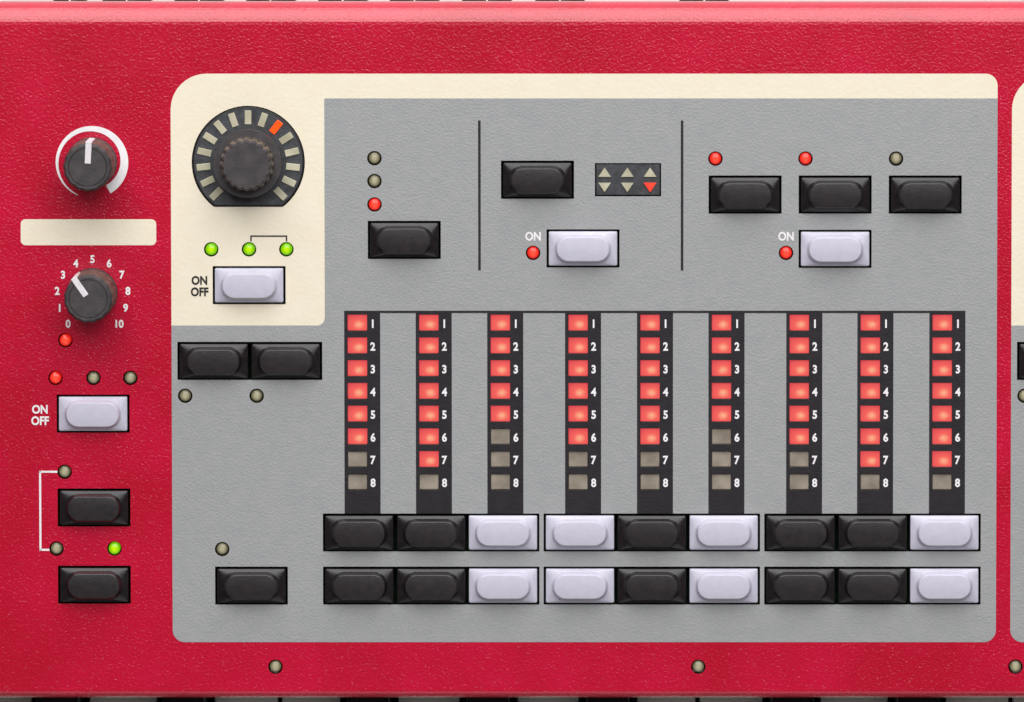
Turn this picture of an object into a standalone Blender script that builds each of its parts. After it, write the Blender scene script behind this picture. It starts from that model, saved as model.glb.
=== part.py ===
"""A 73-key stage piano with an organ section of LED drawbars on its sloping panel.

Metres, +Z up. The player sits at -Y and the bass end is at -X. The origin is on the table,
under the middle of the instrument. Everything on the control panel is set out in the panel's
own frame: X along the keyboard, Y up the slope from the panel's front edge, Z off its surface.
"""
import math

import bmesh
import bpy
from mathutils import Matrix, Vector

# General
FIT = 0.0003                 # gap between pieces that rest against each other
SINK = 0.0002                # how far fused shapes reach into each other
SHEET = 0.0015               # wall of the folded sheet-metal shells
BOARD = 0.0016               # thickness of the circuit boards

# Keyboard
NATURAL_PITCH = 0.023571     # 165 mm over seven naturals
NATURAL_COUNT = 43
KEY_GAP = 0.0010
NATURAL_HEIGHT = 0.0700      # from the table to the playing surface
NATURAL_THICKNESS = 0.0160
SHARP_WIDTH = 0.0110
SHARP_TOP_WIDTH = 0.0092
SHARP_RISE = 0.0120          # above the naturals
SHARP_TAIL_DROP = 0.0020     # top of a playable sharp's tail below the naturals' surface
SHARP_TAIL_LIFT = 0.0010     # underside of a sharp above a natural's
SHARP_NOSE = 0.0060          # slope at a sharp's front end
SHARP_VISIBLE = 0.0950
SHARP_UNDER_PANEL = 0.0030
KEY_VISIBLE = 0.1520
PIVOT_BEHIND_PANEL = 0.0680  # from the panel's front edge back to the key pivot
PIVOT_RADIUS = 0.0020
PIVOT_SIDES = 12
PIVOT_WALL = 0.0050
TAIL_LENGTH = 0.0080         # of a key behind its pivot
RAIL_DEPTH = 0.0120          # of the key rail in front of the pivot wall
RAIL_THICKNESS = 0.0050
CHASSIS_MARGIN = 0.0020
CHASSIS_THICKNESS = 0.0030
GUIDE_RAIL_SETBACK = 0.0100
GUIDE_RAIL_DEPTH = 0.0060
GUIDE_RAIL_DROP = 0.0130     # top of the front stop rail below the naturals' underside
FIRST_PLAYABLE = 19          # naturals counted from the lowest: the C in the middle
PLAYABLE_NATURALS = ("c", "d", "e", "f", "g")

# Body
FOOT_HEIGHT = 0.0080
FOOT_RADIUS = 0.0140
FOOT_TAPER = 0.0015
FOOT_SIDES = 14
FOOT_RECESS_RADIUS = 0.0050
FOOT_RECESS_DEPTH = 0.0030
FOOT_INSET_X = 0.0900
FOOT_INSET_Y = 0.0350
SLIP_DEPTH = 0.0281
SLIP_DROP = 0.0140           # top of the key slip below the naturals' surface
SLIP_GAP = 0.0025
SLIP_FLANGE = 0.0080
TRAY_REAR_FLANGE = 0.0120
TRAY_BEND = 0.0040
CHEEK_WIDTH = 0.0249
CHEEK_BLOCK_RISE = 0.0060    # top of the key block above the naturals
CHEEK_RISE = 0.0010          # cheek above the panel
CHEEK_EDGE = 0.0040
CHEEK_FRONT_RADIUS = 0.0140
CHEEK_SWEEP_RADIUS = 0.0120
CHEEK_SWEEP_RUN = 0.0160
PANEL_DEPTH = 0.1560         # along the slope, from the front edge to the rear wall
PANEL_SLOPE = math.radians(5.0)
PANEL_FRONT_RISE = 0.0220    # front edge of the panel above the naturals
LIP_HEIGHT = 0.0080
LIP_BEND = 0.0020
REAR_BEND = 0.0050
BUSHING_REACH = 0.0050       # of the sockets behind the rear wall

# Panel layout: X is counted from the datum, Y from the panel's front edge
DATUM_X = -0.3794
BOARD_DROP = 0.0105          # top of the control board below the panel's surface
BOARD_START = (0.0040, 0.0050)
BOARD_END = (0.8650, 0.1440)
POST_RADIUS = 0.0025
POSTS = ((0.009, 0.138), (0.232, 0.138), (0.232, 0.016), (0.500, 0.138), (0.500, 0.016),
         (0.690, 0.050), (0.858, 0.138), (0.858, 0.016))

# Buttons
CAP_PITCH = 0.0160
CAP_GAP = 0.0005             # between neighbouring caps
CAP_DEPTH = 0.0080
CAP_EDGE = 0.0006            # height of a cap's rim above the panel
CAP_SHOULDER = 0.0009
PAD_INSET = 0.0021           # of the pad's round ends from the cap's rim
PAD_DEPTH = 0.0057
PAD_RISE = 0.0007
PAD_SIDES = 8
OPENING_MARGIN = 0.00035     # panel opening round a cap, left and right
OPENING_MARGIN_DEPTH = 0.00025
FLANGE_REACH = 0.0011        # of the cap's flange under the panel, front and rear
FLANGE_THICKNESS = 0.0010
BUTTON_TRAVEL = 0.0012
SWITCH_SIZE = 0.0060

BLACK = "2a2729"
WHITE = "c8c4d4"
RED = "c31b37"
SINGLE_BUTTONS = {
    "source_button": (0.0208, 0.0639, WHITE),
    "stop_mode_button": (0.0209, 0.0429, BLACK),
    "slow_fast_button": (0.0209, 0.0256, BLACK),
    "zone_button": (0.0556, 0.0926, WHITE),
    "preset_button": (0.0559, 0.0254, BLACK),
    "organ_model_button": (0.0901, 0.1027, BLACK),
    "vibrato_type_button": (0.1197, 0.1161, BLACK),
    "vibrato_on_button": (0.1298, 0.1008, WHITE),
    "percussion_volume_button": (0.1658, 0.1128, BLACK),
    "percussion_decay_button": (0.1858, 0.1128, BLACK),
    "percussion_harmonic_button": (0.2058, 0.1128, BLACK),
    "percussion_on_button": (0.1858, 0.1007, WHITE),
}
OCTAVE_PAIR = (0.0557, 0.0757)
OCTAVE_NAMES = ("octave_down_button", "octave_up_button")
DRAWBAR_MIDDLE = 0.1451      # the middle one of the nine
DRAWBAR_GROUP_GAP = 0.00115  # wider step between the groups of three
DRAWBAR_UP_ROW = 0.0373
DRAWBAR_DOWN_ROW = 0.0254
DRAWBAR_CAPS = (BLACK, BLACK, WHITE, WHITE, BLACK, WHITE, BLACK, BLACK, WHITE)
CAPS_PER_GROUP = 3

# Drawbar windows and their LED bars
WINDOW_WIDTH = 0.0044
WINDOW_HEIGHT = 0.0035
WINDOW_PITCH = 0.00508
WINDOW_COUNT = 8
WINDOW_TOP_ROW = 0.0842
WINDOW_COLUMN_SHARE = 0.9956 # of the caps' pitch
WINDOW_OFFSET = -0.0004      # of a group's middle column from its middle button
BAR_MARGIN = 0.0008

# Round LEDs
LED_RADIUS = 0.00135
LED_HOLE_RADIUS = 0.0018
LED_SIDES = 6
LED_RISE = 0.0004
LEDS = ((0.0147, 0.0803), (0.01245, 0.0719), (0.0209, 0.0719), (0.0291, 0.0719),
        (0.0144, 0.0509), (0.0125, 0.0337), (0.0254, 0.0337), (0.0472, 0.1006),
        (0.0556, 0.1006), (0.0639, 0.1006), (0.0413, 0.0679), (0.0572, 0.0679),
        (0.0494, 0.0336), (0.0835, 0.1209), (0.0835, 0.1158), (0.0835, 0.1106),
        (0.1187, 0.0998), (0.1592, 0.1208), (0.1792, 0.1208), (0.1993, 0.1208),
        (0.1749, 0.0998), (0.2280, 0.0679), (0.2439, 0.0679))
SPLIT_LED_KEYS = (8, 12, 15, 19, 22, 26, 29)
SPLIT_LED_ROW = 0.0072
INDICATOR = (0.1398, 0.1161)
INDICATOR_SIZE = (0.0147, 0.0074)
INDICATOR_MARGIN = 0.0003

# Knobs
MASTER_KNOB = (0.0208, 0.1200)
DRIVE_KNOB = (0.0208, 0.0909)
LEVEL_KNOB = (0.0555, 0.1200)
MASTER_POINTER = math.radians(-3.0)
DRIVE_POINTER = math.radians(34.6)
KNOB_HEIGHT = 0.0150
KNOB_SKIRT_RADIUS = 0.0054
KNOB_SKIRT_HEIGHT = 0.0026
KNOB_RADIUS = 0.0051
KNOB_TOP_RADIUS = 0.0047
LEVEL_SKIRT_RADIUS = 0.00755
LEVEL_SKIRT_HEIGHT = 0.0042
LEVEL_RADIUS = 0.0061
LEVEL_TOP_RADIUS = 0.0055
LEVEL_HEIGHT = 0.0095
LEVEL_SHAFT_HEIGHT = 0.0070
LEVEL_FLUTES = 16
FLUTE_DEPTH = 0.0003
KNOB_LIFT = 0.0008           # underside of a knob above the panel
KNOB_SIDES = 18
POINTER_WIDTH = 0.00135
POINTER_RISE = 0.00025
POINTER_START = 0.0008
SHAFT_RADIUS = 0.0030
SHAFT_SIDES = 10
SHAFT_HEIGHT = 0.0110        # above the panel
SHAFT_FIT = 0.0004
SHAFT_HOLE_RADIUS = 0.0045
SHAFT_HOLE_SIDES = 6
POT_SIZE = (0.0100, 0.0110, 0.0065)
BEZEL_RADIUS = 0.01236
BEZEL_FLAT = 0.00975         # from its centre to the straight lower edge
BEZEL_RISE = 0.0003
BEZEL_FLANGE = 0.0012
BEZEL_FLANGE_THICKNESS = 0.0010
BEZEL_HOLE_RADIUS = 0.0045
BEZEL_SIDES = 20

# Sections right of the organ: their caps and knobs are part of the control board here
FIXED_COLUMNS = (0.1867, 0.4897)    # left columns like the organ's, moved by this much
FIXED_CAP_ROWS = (((0.3100, 0.1027), 2), ((0.3100, 0.0254), 3), ((0.4230, 0.0254), 4),
                  ((0.6250, 0.0254), 4), ((0.7700, 0.0254), 3))
FIXED_KNOBS = ((0.5900, 0.1150), (0.6250, 0.1150), (0.6600, 0.1150), (0.6250, 0.0700),
               (0.7400, 0.1150), (0.7700, 0.1150), (0.8000, 0.1150), (0.7700, 0.0700),
               (0.4230, 0.0700))
FIXED_KNOB_SIDES = 10
DISPLAY = (0.4230, 0.1130)
DISPLAY_SIZE = (0.0660, 0.0280)
DISPLAY_MARGIN = 0.0004

# Pitch and modulation wheels
PITCH_WHEEL = (-0.0850, 0.1120)
MOD_WHEEL = (-0.0450, 0.1120)
WHEEL_RADIUS = 0.0260
WHEEL_WIDTH = 0.0110
WHEEL_AXLE_DROP = 0.0140
WHEEL_SIDES = 28
AXLE_SIDES = 8
WHEEL_GRIP_RADIUS = 0.0070
WHEEL_GRIP_DEPTH = 0.0016
WHEEL_GRIP_SIDES = 16
WHEEL_SLOT_MARGIN = 0.0010
MOD_WHEEL_REST = math.radians(28.0)   # its grip starts on the player's side
AXLE_RADIUS = 0.0020
AXLE_REACH = 0.0045          # of an axle stub beyond the wheel's face
TAB_THICKNESS = 0.0015
TAB_DEPTH = 0.0120
TAB_BELOW_AXLE = 0.0050
TAB_CLEARANCE = 0.0010       # between a wheel's face and its bracket tab

# Rear sockets: X is counted from the same datum
SOCKET_HEIGHT = 0.0540       # above the table
SOCKET_DEPTH = 0.0240        # of a socket body inside the rear wall
JACKS = (0.0258, 0.0422, 0.0585, 0.0749, 0.0912, 0.1077, 0.1243, 0.1571)
JACK_BODY = 0.0140
JACK_BUSHING_RADIUS = 0.0046
JACK_BORE_RADIUS = 0.00335
JACK_BORE_DEPTH = 0.0240
MINI_JACK = 0.0127
MINI_JACK_BODY = 0.0090
MINI_BUSHING_RADIUS = 0.0030
MINI_BORE_RADIUS = 0.0018
JACK_SIDES = 10
WALL_HOLE_MARGIN = 0.0005
USB_SOCKET = 0.1406
USB_BODY = (0.0120, 0.0110)
USB_CAVITY = (0.0084, 0.0078, 0.0090)
FLUSH_REACH = 0.0010         # of the USB and mains sockets behind the wall
INLET_INSET = 0.0200         # from the socket board's right end
INLET_BODY = (0.0270, 0.0180)    # a two-pole figure-eight mains inlet
INLET_CAVITY = (0.0186, 0.0098, 0.0140)
ROCKER_STEP = 0.0300         # from the inlet to the switch
ROCKER_BODY = (0.0150, 0.0220)
ROCKER_CAVITY = (0.0124, 0.0200, 0.0110)
ROCKER_SIZE = (0.0114, 0.0176, 0.0070)
ROCKER_TILT = math.radians(7.0)
ROCKER_AXIS_DEPTH = 0.0020   # pivot inside the wall's outer face
ROCKER_PIN_RADIUS = 0.0010
ROCKER_PIN_FIT = 0.0004
IO_BOARD_START = 0.0040
IO_BOARD_MARGIN = 0.0462     # from the socket board's right end to the cheek
IO_BOARD_BOTTOM = 0.0360
IO_BOARD_TOP = 0.0690

# Main board with the power supply
MAIN_BOARD_X = (-0.1600, 0.3400)
MAIN_BOARD_DEPTH = 0.0260
MAIN_BOARD_LIFT = 0.0050
MAIN_BOARD_GAP = 0.0100      # behind the key chassis
MAIN_POST_RADIUS = 0.0030
MAIN_POST_INSET = 0.0100
SUPPLY_CAN = (0.0900, 0.0200, 0.0180)
MAIN_CHIPS = ((-0.0800, 0.0180), (-0.0300, 0.0140), (0.0400, 0.0180), (0.1000, 0.0140))
MAIN_CHIP_HEIGHT = 0.0022

# Worked out from the above
KEYBOARD_WIDTH = NATURAL_COUNT * NATURAL_PITCH
SLIP_HEIGHT = NATURAL_HEIGHT - SLIP_DROP
CHEEK_BLOCK_HEIGHT = NATURAL_HEIGHT + CHEEK_BLOCK_RISE
PANEL_FRONT_HEIGHT = NATURAL_HEIGHT + PANEL_FRONT_RISE
CAP_WIDTH = CAP_PITCH - CAP_GAP
PAD_WIDTH = CAP_WIDTH - 2 * PAD_INSET
DRAWBAR_GROUP_PITCH = CAPS_PER_GROUP * CAP_PITCH + DRAWBAR_GROUP_GAP
DRAWBAR_GROUPS = [DRAWBAR_MIDDLE + side * DRAWBAR_GROUP_PITCH for side in (-1, 0, 1)]
WINDOW_COLUMN_PITCH = WINDOW_COLUMN_SHARE * CAP_PITCH
IO_BOARD_END = KEYBOARD_WIDTH / 2 - DATUM_X - IO_BOARD_MARGIN
INLET = IO_BOARD_END - INLET_INSET
ROCKER = INLET - ROCKER_STEP
PANEL_RUN = PANEL_DEPTH * math.cos(PANEL_SLOPE)
TOTAL_DEPTH = SLIP_DEPTH + SLIP_GAP + KEY_VISIBLE + PANEL_RUN + BUSHING_REACH
FRONT_Y = -TOTAL_DEPTH / 2
KEY_FRONT_Y = FRONT_Y + SLIP_DEPTH + SLIP_GAP
PANEL_FRONT_Y = KEY_FRONT_Y + KEY_VISIBLE
REAR_WALL_Y = PANEL_FRONT_Y + PANEL_RUN
PANEL_REAR_HEIGHT = PANEL_FRONT_HEIGHT + PANEL_DEPTH * math.sin(PANEL_SLOPE)
PIVOT_Y = PANEL_FRONT_Y + PIVOT_BEHIND_PANEL
PIVOT_Z = NATURAL_HEIGHT - NATURAL_THICKNESS
GUIDE_RAIL_HEIGHT = PIVOT_Z - GUIDE_RAIL_DROP
KEY_TAIL_Y = PIVOT_Y + TAIL_LENGTH
SHARP_FRONT_Y = PANEL_FRONT_Y - SHARP_VISIBLE
CHASSIS_BOTTOM = FOOT_HEIGHT + SHEET + FIT
CHASSIS_TOP = CHASSIS_BOTTOM + CHASSIS_THICKNESS
CHASSIS_REAR = KEY_TAIL_Y + CHASSIS_MARGIN
PIVOT_WALL_FRONT = PIVOT_Y - PIVOT_WALL / 2
NOTE_NAMES = ("e", "f", "g", "a", "b", "c", "d")
NOTES_WITH_SHARP = ("f", "g", "a", "c", "d")


def reset_scene():
    for old in list(bpy.data.objects):
        bpy.data.objects.remove(old, do_unlink=True)
    for old in list(bpy.data.collections):
        bpy.data.collections.remove(old)


def new_collection(name):
    group = bpy.data.collections.new(name)
    bpy.context.scene.collection.children.link(group)
    return group


def linear(hex_colour):
    channels = [int(hex_colour[i:i + 2], 16) / 255 for i in (0, 2, 4)]
    return [c / 12.92 if c <= 0.04045 else ((c + 0.055) / 1.055) ** 2.4 for c in channels] + [1.0]


def give_material(obj, hex_colour, roughness, metallic=0.0):
    """Give an object a Principled material of its own."""
    material = bpy.data.materials.new(obj.name)
    material.use_nodes = True
    shader = material.node_tree.nodes["Principled BSDF"]
    shader.inputs["Base Color"].default_value = linear(hex_colour)
    shader.inputs["Roughness"].default_value = roughness
    shader.inputs["Metallic"].default_value = metallic
    obj.data.materials.append(material)
    return obj


def new_object(name, mesh, group):
    obj = bpy.data.objects.new(name, mesh)
    group.objects.link(obj)
    return obj


def mesh_from(shape, name):
    mesh = bpy.data.meshes.new(name)
    shape.to_mesh(mesh)
    shape.free()
    return mesh


def box(name, low, high):
    """A block between two corners."""
    shape = bmesh.new()
    bmesh.ops.create_cube(shape, size=1.0)
    size = [b - a for a, b in zip(low, high)]
    middle = [(a + b) / 2 for a, b in zip(low, high)]
    bmesh.ops.scale(shape, vec=size, verts=shape.verts)
    bmesh.ops.translate(shape, vec=middle, verts=shape.verts)
    return new_object(name, mesh_from(shape, name), WORKBENCH)


def block(name, centre, size, low, high):
    """A block of a given footprint, round a point, between two heights."""
    half = (size[0] / 2, size[1] / 2)
    return box(name, (centre[0] - half[0], centre[1] - half[1], low),
               (centre[0] + half[0], centre[1] + half[1], high))


def rod(name, centre, radius, low, high, sides, top_radius=None, turn=None):
    """A round bar along Z between two heights, or tapered, then turned about its own centre."""
    shape = bmesh.new()
    bmesh.ops.create_cone(shape, cap_ends=True, segments=sides, radius1=radius,
                          radius2=radius if top_radius is None else top_radius, depth=high - low)
    bmesh.ops.translate(shape, vec=(0, 0, (low + high) / 2), verts=shape.verts)
    if turn is not None:
        bmesh.ops.rotate(shape, matrix=turn, cent=(0, 0, 0), verts=shape.verts)
    bmesh.ops.translate(shape, vec=(*centre, 0) if len(centre) == 2 else centre, verts=shape.verts)
    return new_object(name, mesh_from(shape, name), WORKBENCH)


ALONG_X = Matrix.Rotation(math.radians(90), 3, "Y")
ALONG_Y = Matrix.Rotation(math.radians(-90), 3, "X")


def evaluated_mesh(obj):
    bpy.context.view_layer.update()
    return bpy.data.meshes.new_from_object(obj.evaluated_get(bpy.context.evaluated_depsgraph_get()))


def bake(obj):
    """Replace an object's mesh by what its modifiers make of it."""
    mesh = evaluated_mesh(obj)
    obj.modifiers.clear()
    obj.data = mesh
    return obj


def combine(base, others, operation):
    """Join the others to the base, or cut them from it, and remove them."""
    group = bpy.data.collections.new(base.name + "_tools")
    WORKBENCH.children.link(group)
    for other in others:
        WORKBENCH.objects.unlink(other)
        group.objects.link(other)
    change = base.modifiers.new(operation.title(), "BOOLEAN")
    change.operation = operation
    change.solver = "EXACT"
    change.operand_type = "COLLECTION"
    change.collection = group
    bake(base)
    for other in list(group.objects):
        bpy.data.objects.remove(other, do_unlink=True)
    bpy.data.collections.remove(group)
    return base


def fuse(pieces):
    return combine(pieces[0], pieces[1:], "UNION")


def cut(base, cutters):
    return combine(base, cutters, "DIFFERENCE")


def finish(obj, name, hex_colour, roughness, metallic=0.0, frame=None, place=(0, 0, 0), turn=0.0):
    """Name a finished piece, give it its material and put it in the instrument."""
    obj.name = name
    obj.data.name = name
    WORKBENCH.objects.unlink(obj)
    INSTRUMENT.objects.link(obj)
    obj.parent = frame
    obj.location = place
    obj.rotation_euler[2] = turn
    return give_material(obj, hex_colour, roughness, metallic)


def turned(name, profile, sides):
    """A solid of revolution. The profile runs down its outer side, top to bottom."""
    mesh = bpy.data.meshes.new(name)
    points = [(radius, 0, height) for radius, height in profile]
    mesh.from_pydata(points, [(i, i + 1) for i in range(len(points) - 1)], [])
    obj = new_object(name, mesh, WORKBENCH)
    spin = obj.modifiers.new("Turn", "SCREW")
    spin.steps = spin.render_steps = sides
    spin.use_merge_vertices = True
    spin.merge_threshold = 0.00001
    return bake(obj)


def rounded(points, radii, steps, closed=True):
    """A path with its corners replaced by arcs of the given radii."""
    path = []
    last = len(points) - 1
    for index, (point, radius) in enumerate(zip(points, radii)):
        if radius == 0 or (not closed and index in (0, last)):
            path.append(point)
            continue
        corner = Vector(point)
        before = (Vector(points[index - 1]) - corner).normalized()
        after = (Vector(points[(index + 1) % len(points)]) - corner).normalized()
        half_angle = before.angle(after) / 2
        centre = corner + (before + after).normalized() * radius / math.sin(half_angle)
        first = corner + before * radius / math.tan(half_angle) - centre
        sweep = first.angle_signed(corner + after * radius / math.tan(half_angle) - centre)
        for step in range(steps + 1):
            turn = Matrix.Rotation(-sweep * step / steps, 2)
            path.append(tuple(centre + turn @ first))
    return path


def outline_solid(name, points, low, high):
    """A flat outline in X and Y, filled and raised between two heights."""
    curve = bpy.data.curves.new(name, "CURVE")
    curve.dimensions = "2D"
    curve.fill_mode = "BOTH"
    curve.extrude = (high - low) / 2
    spline = curve.splines.new("POLY")
    spline.points.add(len(points) - 1)
    for slot, point in zip(spline.points, points):
        slot.co = (*point, 0, 1)
    spline.use_cyclic_u = True
    flat = new_object(name, curve, WORKBENCH)
    shape = bmesh.new()
    shape.from_mesh(evaluated_mesh(flat))
    bpy.data.objects.remove(flat, do_unlink=True)
    bmesh.ops.remove_doubles(shape, verts=shape.verts, dist=0.000001)
    bmesh.ops.translate(shape, vec=(0, 0, (low + high) / 2), verts=shape.verts)
    bmesh.ops.recalc_face_normals(shape, faces=shape.faces)
    return new_object(name, mesh_from(shape, name), WORKBENCH)


def side_outline_solid(name, points, left, right):
    """An outline in Y and Z, filled across the instrument's width."""
    obj = outline_solid(name, points, left, right)
    to_side = Matrix(((0, 0, 1), (1, 0, 0), (0, 1, 0))).to_4x4()
    obj.data.transform(to_side)
    return obj


def folded_sheet(name, path, half_width):
    """A sheet-metal shell: a path in Y and Z along its outer face, made SHEET thick inwards."""
    shape = bmesh.new()
    line = [shape.verts.new((-half_width, y, z)) for y, z in path]
    edges = [shape.edges.new(pair) for pair in zip(line, line[1:])]
    swept = bmesh.ops.extrude_edge_only(shape, edges=edges)["geom"]
    moved = [item for item in swept if isinstance(item, bmesh.types.BMVert)]
    bmesh.ops.translate(shape, vec=(2 * half_width, 0, 0), verts=moved)
    obj = new_object(name, mesh_from(shape, name), WORKBENCH)
    wall = obj.modifiers.new("Wall", "SOLIDIFY")
    wall.thickness = SHEET
    wall.offset = -1.0
    wall.use_even_offset = True
    return bake(obj)


def on_panel(point):
    """A layout point in the panel's frame."""
    return DATUM_X + point[0], point[1]


def natural_left(index):
    """The left edge of a natural's share of the keyboard."""
    return -KEYBOARD_WIDTH / 2 + index * NATURAL_PITCH


def note_of(index):
    return NOTE_NAMES[index % len(NOTE_NAMES)]


def sharp_centre(index):
    """The middle of the sharp right of a natural: fifths of C to E, sevenths of F to B."""
    note = note_of(index)
    from_c = note in ("c", "d")
    run, share = (3, 5) if from_c else (4, 7)
    order = ("c", "d").index(note) if from_c else ("f", "g", "a").index(note)
    return natural_left(index - order) + run * NATURAL_PITCH / share * (2 * order + 1.5)


def natural_side(index, side):
    """One side of a natural seen from above, from its front to its tail, cut back at a sharp."""
    edge = natural_left(index + (side > 0)) - side * KEY_GAP / 2
    sharp = index if side > 0 else index - 1
    if 0 <= sharp < NATURAL_COUNT - 1 and note_of(sharp) in NOTES_WITH_SHARP:
        shoulder = SHARP_FRONT_Y - KEY_GAP
        tail = sharp_centre(sharp) - side * (SHARP_WIDTH / 2 + KEY_GAP)
        return [(edge, KEY_FRONT_Y), (edge, shoulder), (tail, shoulder), (tail, KEY_TAIL_Y)]
    return [(edge, KEY_FRONT_Y), (edge, KEY_TAIL_Y)]


def natural(index):
    outline = natural_side(index, 1) + natural_side(index, -1)[::-1]
    return outline_solid("natural", outline, PIVOT_Z, NATURAL_HEIGHT)


def natural_comb(first, last):
    """Neighbouring naturals that stay still, fused where the pivot wall carries their tails."""
    outline = []
    for index in range(first, last):
        for side in (-1, 1):
            points = natural_side(index, side)
            outer = index == (first if side < 0 else last - 1)
            points[-1] = (points[-1][0], KEY_TAIL_Y if outer else PIVOT_WALL_FRONT)
            outline += points if side > 0 else points[::-1]
    return outline_solid("naturals", outline, PIVOT_Z, NATURAL_HEIGHT)


def sharp_pieces(index, rear, tail_top):
    """The low tail of a sharp and its raised, tapered cap."""
    middle = sharp_centre(index)
    tail = box("tail", (middle - SHARP_WIDTH / 2, SHARP_FRONT_Y, PIVOT_Z + SHARP_TAIL_LIFT),
               (middle + SHARP_WIDTH / 2, rear, tail_top))
    cap_rear = PANEL_FRONT_Y + SHARP_UNDER_PANEL
    cap = box("cap", (middle - SHARP_WIDTH / 2, SHARP_FRONT_Y + SINK, tail_top - SINK),
              (middle + SHARP_WIDTH / 2, cap_rear, NATURAL_HEIGHT + SHARP_RISE))
    for vertex in cap.data.vertices:
        if vertex.co.z > tail_top:
            side = math.copysign(SHARP_TOP_WIDTH / 2, vertex.co.x - middle)
            vertex.co.x = middle + side
            if vertex.co.y < (SHARP_FRONT_Y + cap_rear) / 2:
                vertex.co.y += SHARP_NOSE
    return [tail, cap]


def pivot_notch():
    """The round groove in a key's underside that rides on the pivot ridge."""
    reach = (PIVOT_RADIUS + FIT) / math.cos(math.pi / PIVOT_SIDES)
    return rod("notch", (0, PIVOT_Y, PIVOT_Z), reach, -KEYBOARD_WIDTH, KEYBOARD_WIDTH, PIVOT_SIDES,
               turn=ALONG_X)


def from_pivot(obj):
    """Move a key's origin onto its pivot."""
    obj.data.transform(Matrix.Translation((0, -PIVOT_Y, -PIVOT_Z)))
    return (0, PIVOT_Y, PIVOT_Z)


def build_playable_keys():
    for order, note in enumerate(PLAYABLE_NATURALS):
        index = FIRST_PLAYABLE + order
        key = cut(natural(index), [pivot_notch()])
        finish(key, f"key_{note}", "f2efe6", 0.25, place=from_pivot(key))
        if note in NOTES_WITH_SHARP and order < len(PLAYABLE_NATURALS) - 1:
            low_tail = sharp_pieces(index, KEY_TAIL_Y, NATURAL_HEIGHT - SHARP_TAIL_DROP)
            key = cut(fuse(low_tail), [pivot_notch()])
            finish(key, f"key_{note}_sharp", "161517", 0.35, place=from_pivot(key))


def playable_sharps():
    first, last = FIRST_PLAYABLE, FIRST_PLAYABLE + len(PLAYABLE_NATURALS) - 1
    return [i for i in range(first, last) if note_of(i) in NOTES_WITH_SHARP]


def build_keybed():
    """The chassis with its guide rail and pivot ridge, and the naturals that stay still."""
    half = KEYBOARD_WIDTH / 2 - KEY_GAP
    plate = box("plate", (-half, KEY_FRONT_Y, CHASSIS_BOTTOM), (half, CHASSIS_REAR, CHASSIS_TOP))
    guide_y = KEY_FRONT_Y + GUIDE_RAIL_SETBACK
    guide = box("guide", (-half + SINK, guide_y, CHASSIS_TOP - SINK),
                (half - SINK, guide_y + GUIDE_RAIL_DEPTH, GUIDE_RAIL_HEIGHT))
    last = FIRST_PLAYABLE + len(PLAYABLE_NATURALS)
    start, end = natural_left(FIRST_PLAYABLE), natural_left(last)
    seat = PIVOT_WALL / 2
    bass = box("bass_wall", (-half + SINK, PIVOT_Y - seat, CHASSIS_TOP - SINK),
               (start, PIVOT_Y + seat, PIVOT_Z + SINK))
    treble = box("treble_wall", (end, PIVOT_Y - seat, CHASSIS_TOP - SINK),
                 (half - SINK, PIVOT_Y + seat, PIVOT_Z + SINK))
    neck = PIVOT_RADIUS / 2
    web = box("web", (start - SINK, PIVOT_Y - neck, CHASSIS_TOP - SINK),
              (end + SINK, PIVOT_Y + neck, PIVOT_Z))
    ridge = rod("ridge", (0, PIVOT_Y, PIVOT_Z), PIVOT_RADIUS, start - SINK, end + SINK,
                PIVOT_SIDES, turn=ALONG_X)
    pieces = [plate, guide, bass, treble, web, ridge]
    pieces += [natural_comb(0, FIRST_PLAYABLE), natural_comb(last, NATURAL_COUNT)]
    finish(fuse(pieces), "keybed", "f2efe6", 0.3)


def build_key_rail():
    """The rail across the tails of the naturals, with the sharps that stay still."""
    half = KEYBOARD_WIDTH / 2 - KEY_GAP
    low = NATURAL_HEIGHT + FIT
    rail = box("rail", (-half, PIVOT_WALL_FRONT - RAIL_DEPTH, low),
               (half, PIVOT_Y + PIVOT_WALL / 2, low + RAIL_THICKNESS))
    pieces = [rail]
    for index in range(NATURAL_COUNT - 1):
        if note_of(index) in NOTES_WITH_SHARP and index not in playable_sharps():
            pieces += sharp_pieces(index, PIVOT_WALL_FRONT - FIT, low + SINK)
    finish(fuse(pieces), "key_rail", "1b1a1c", 0.4)


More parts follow.
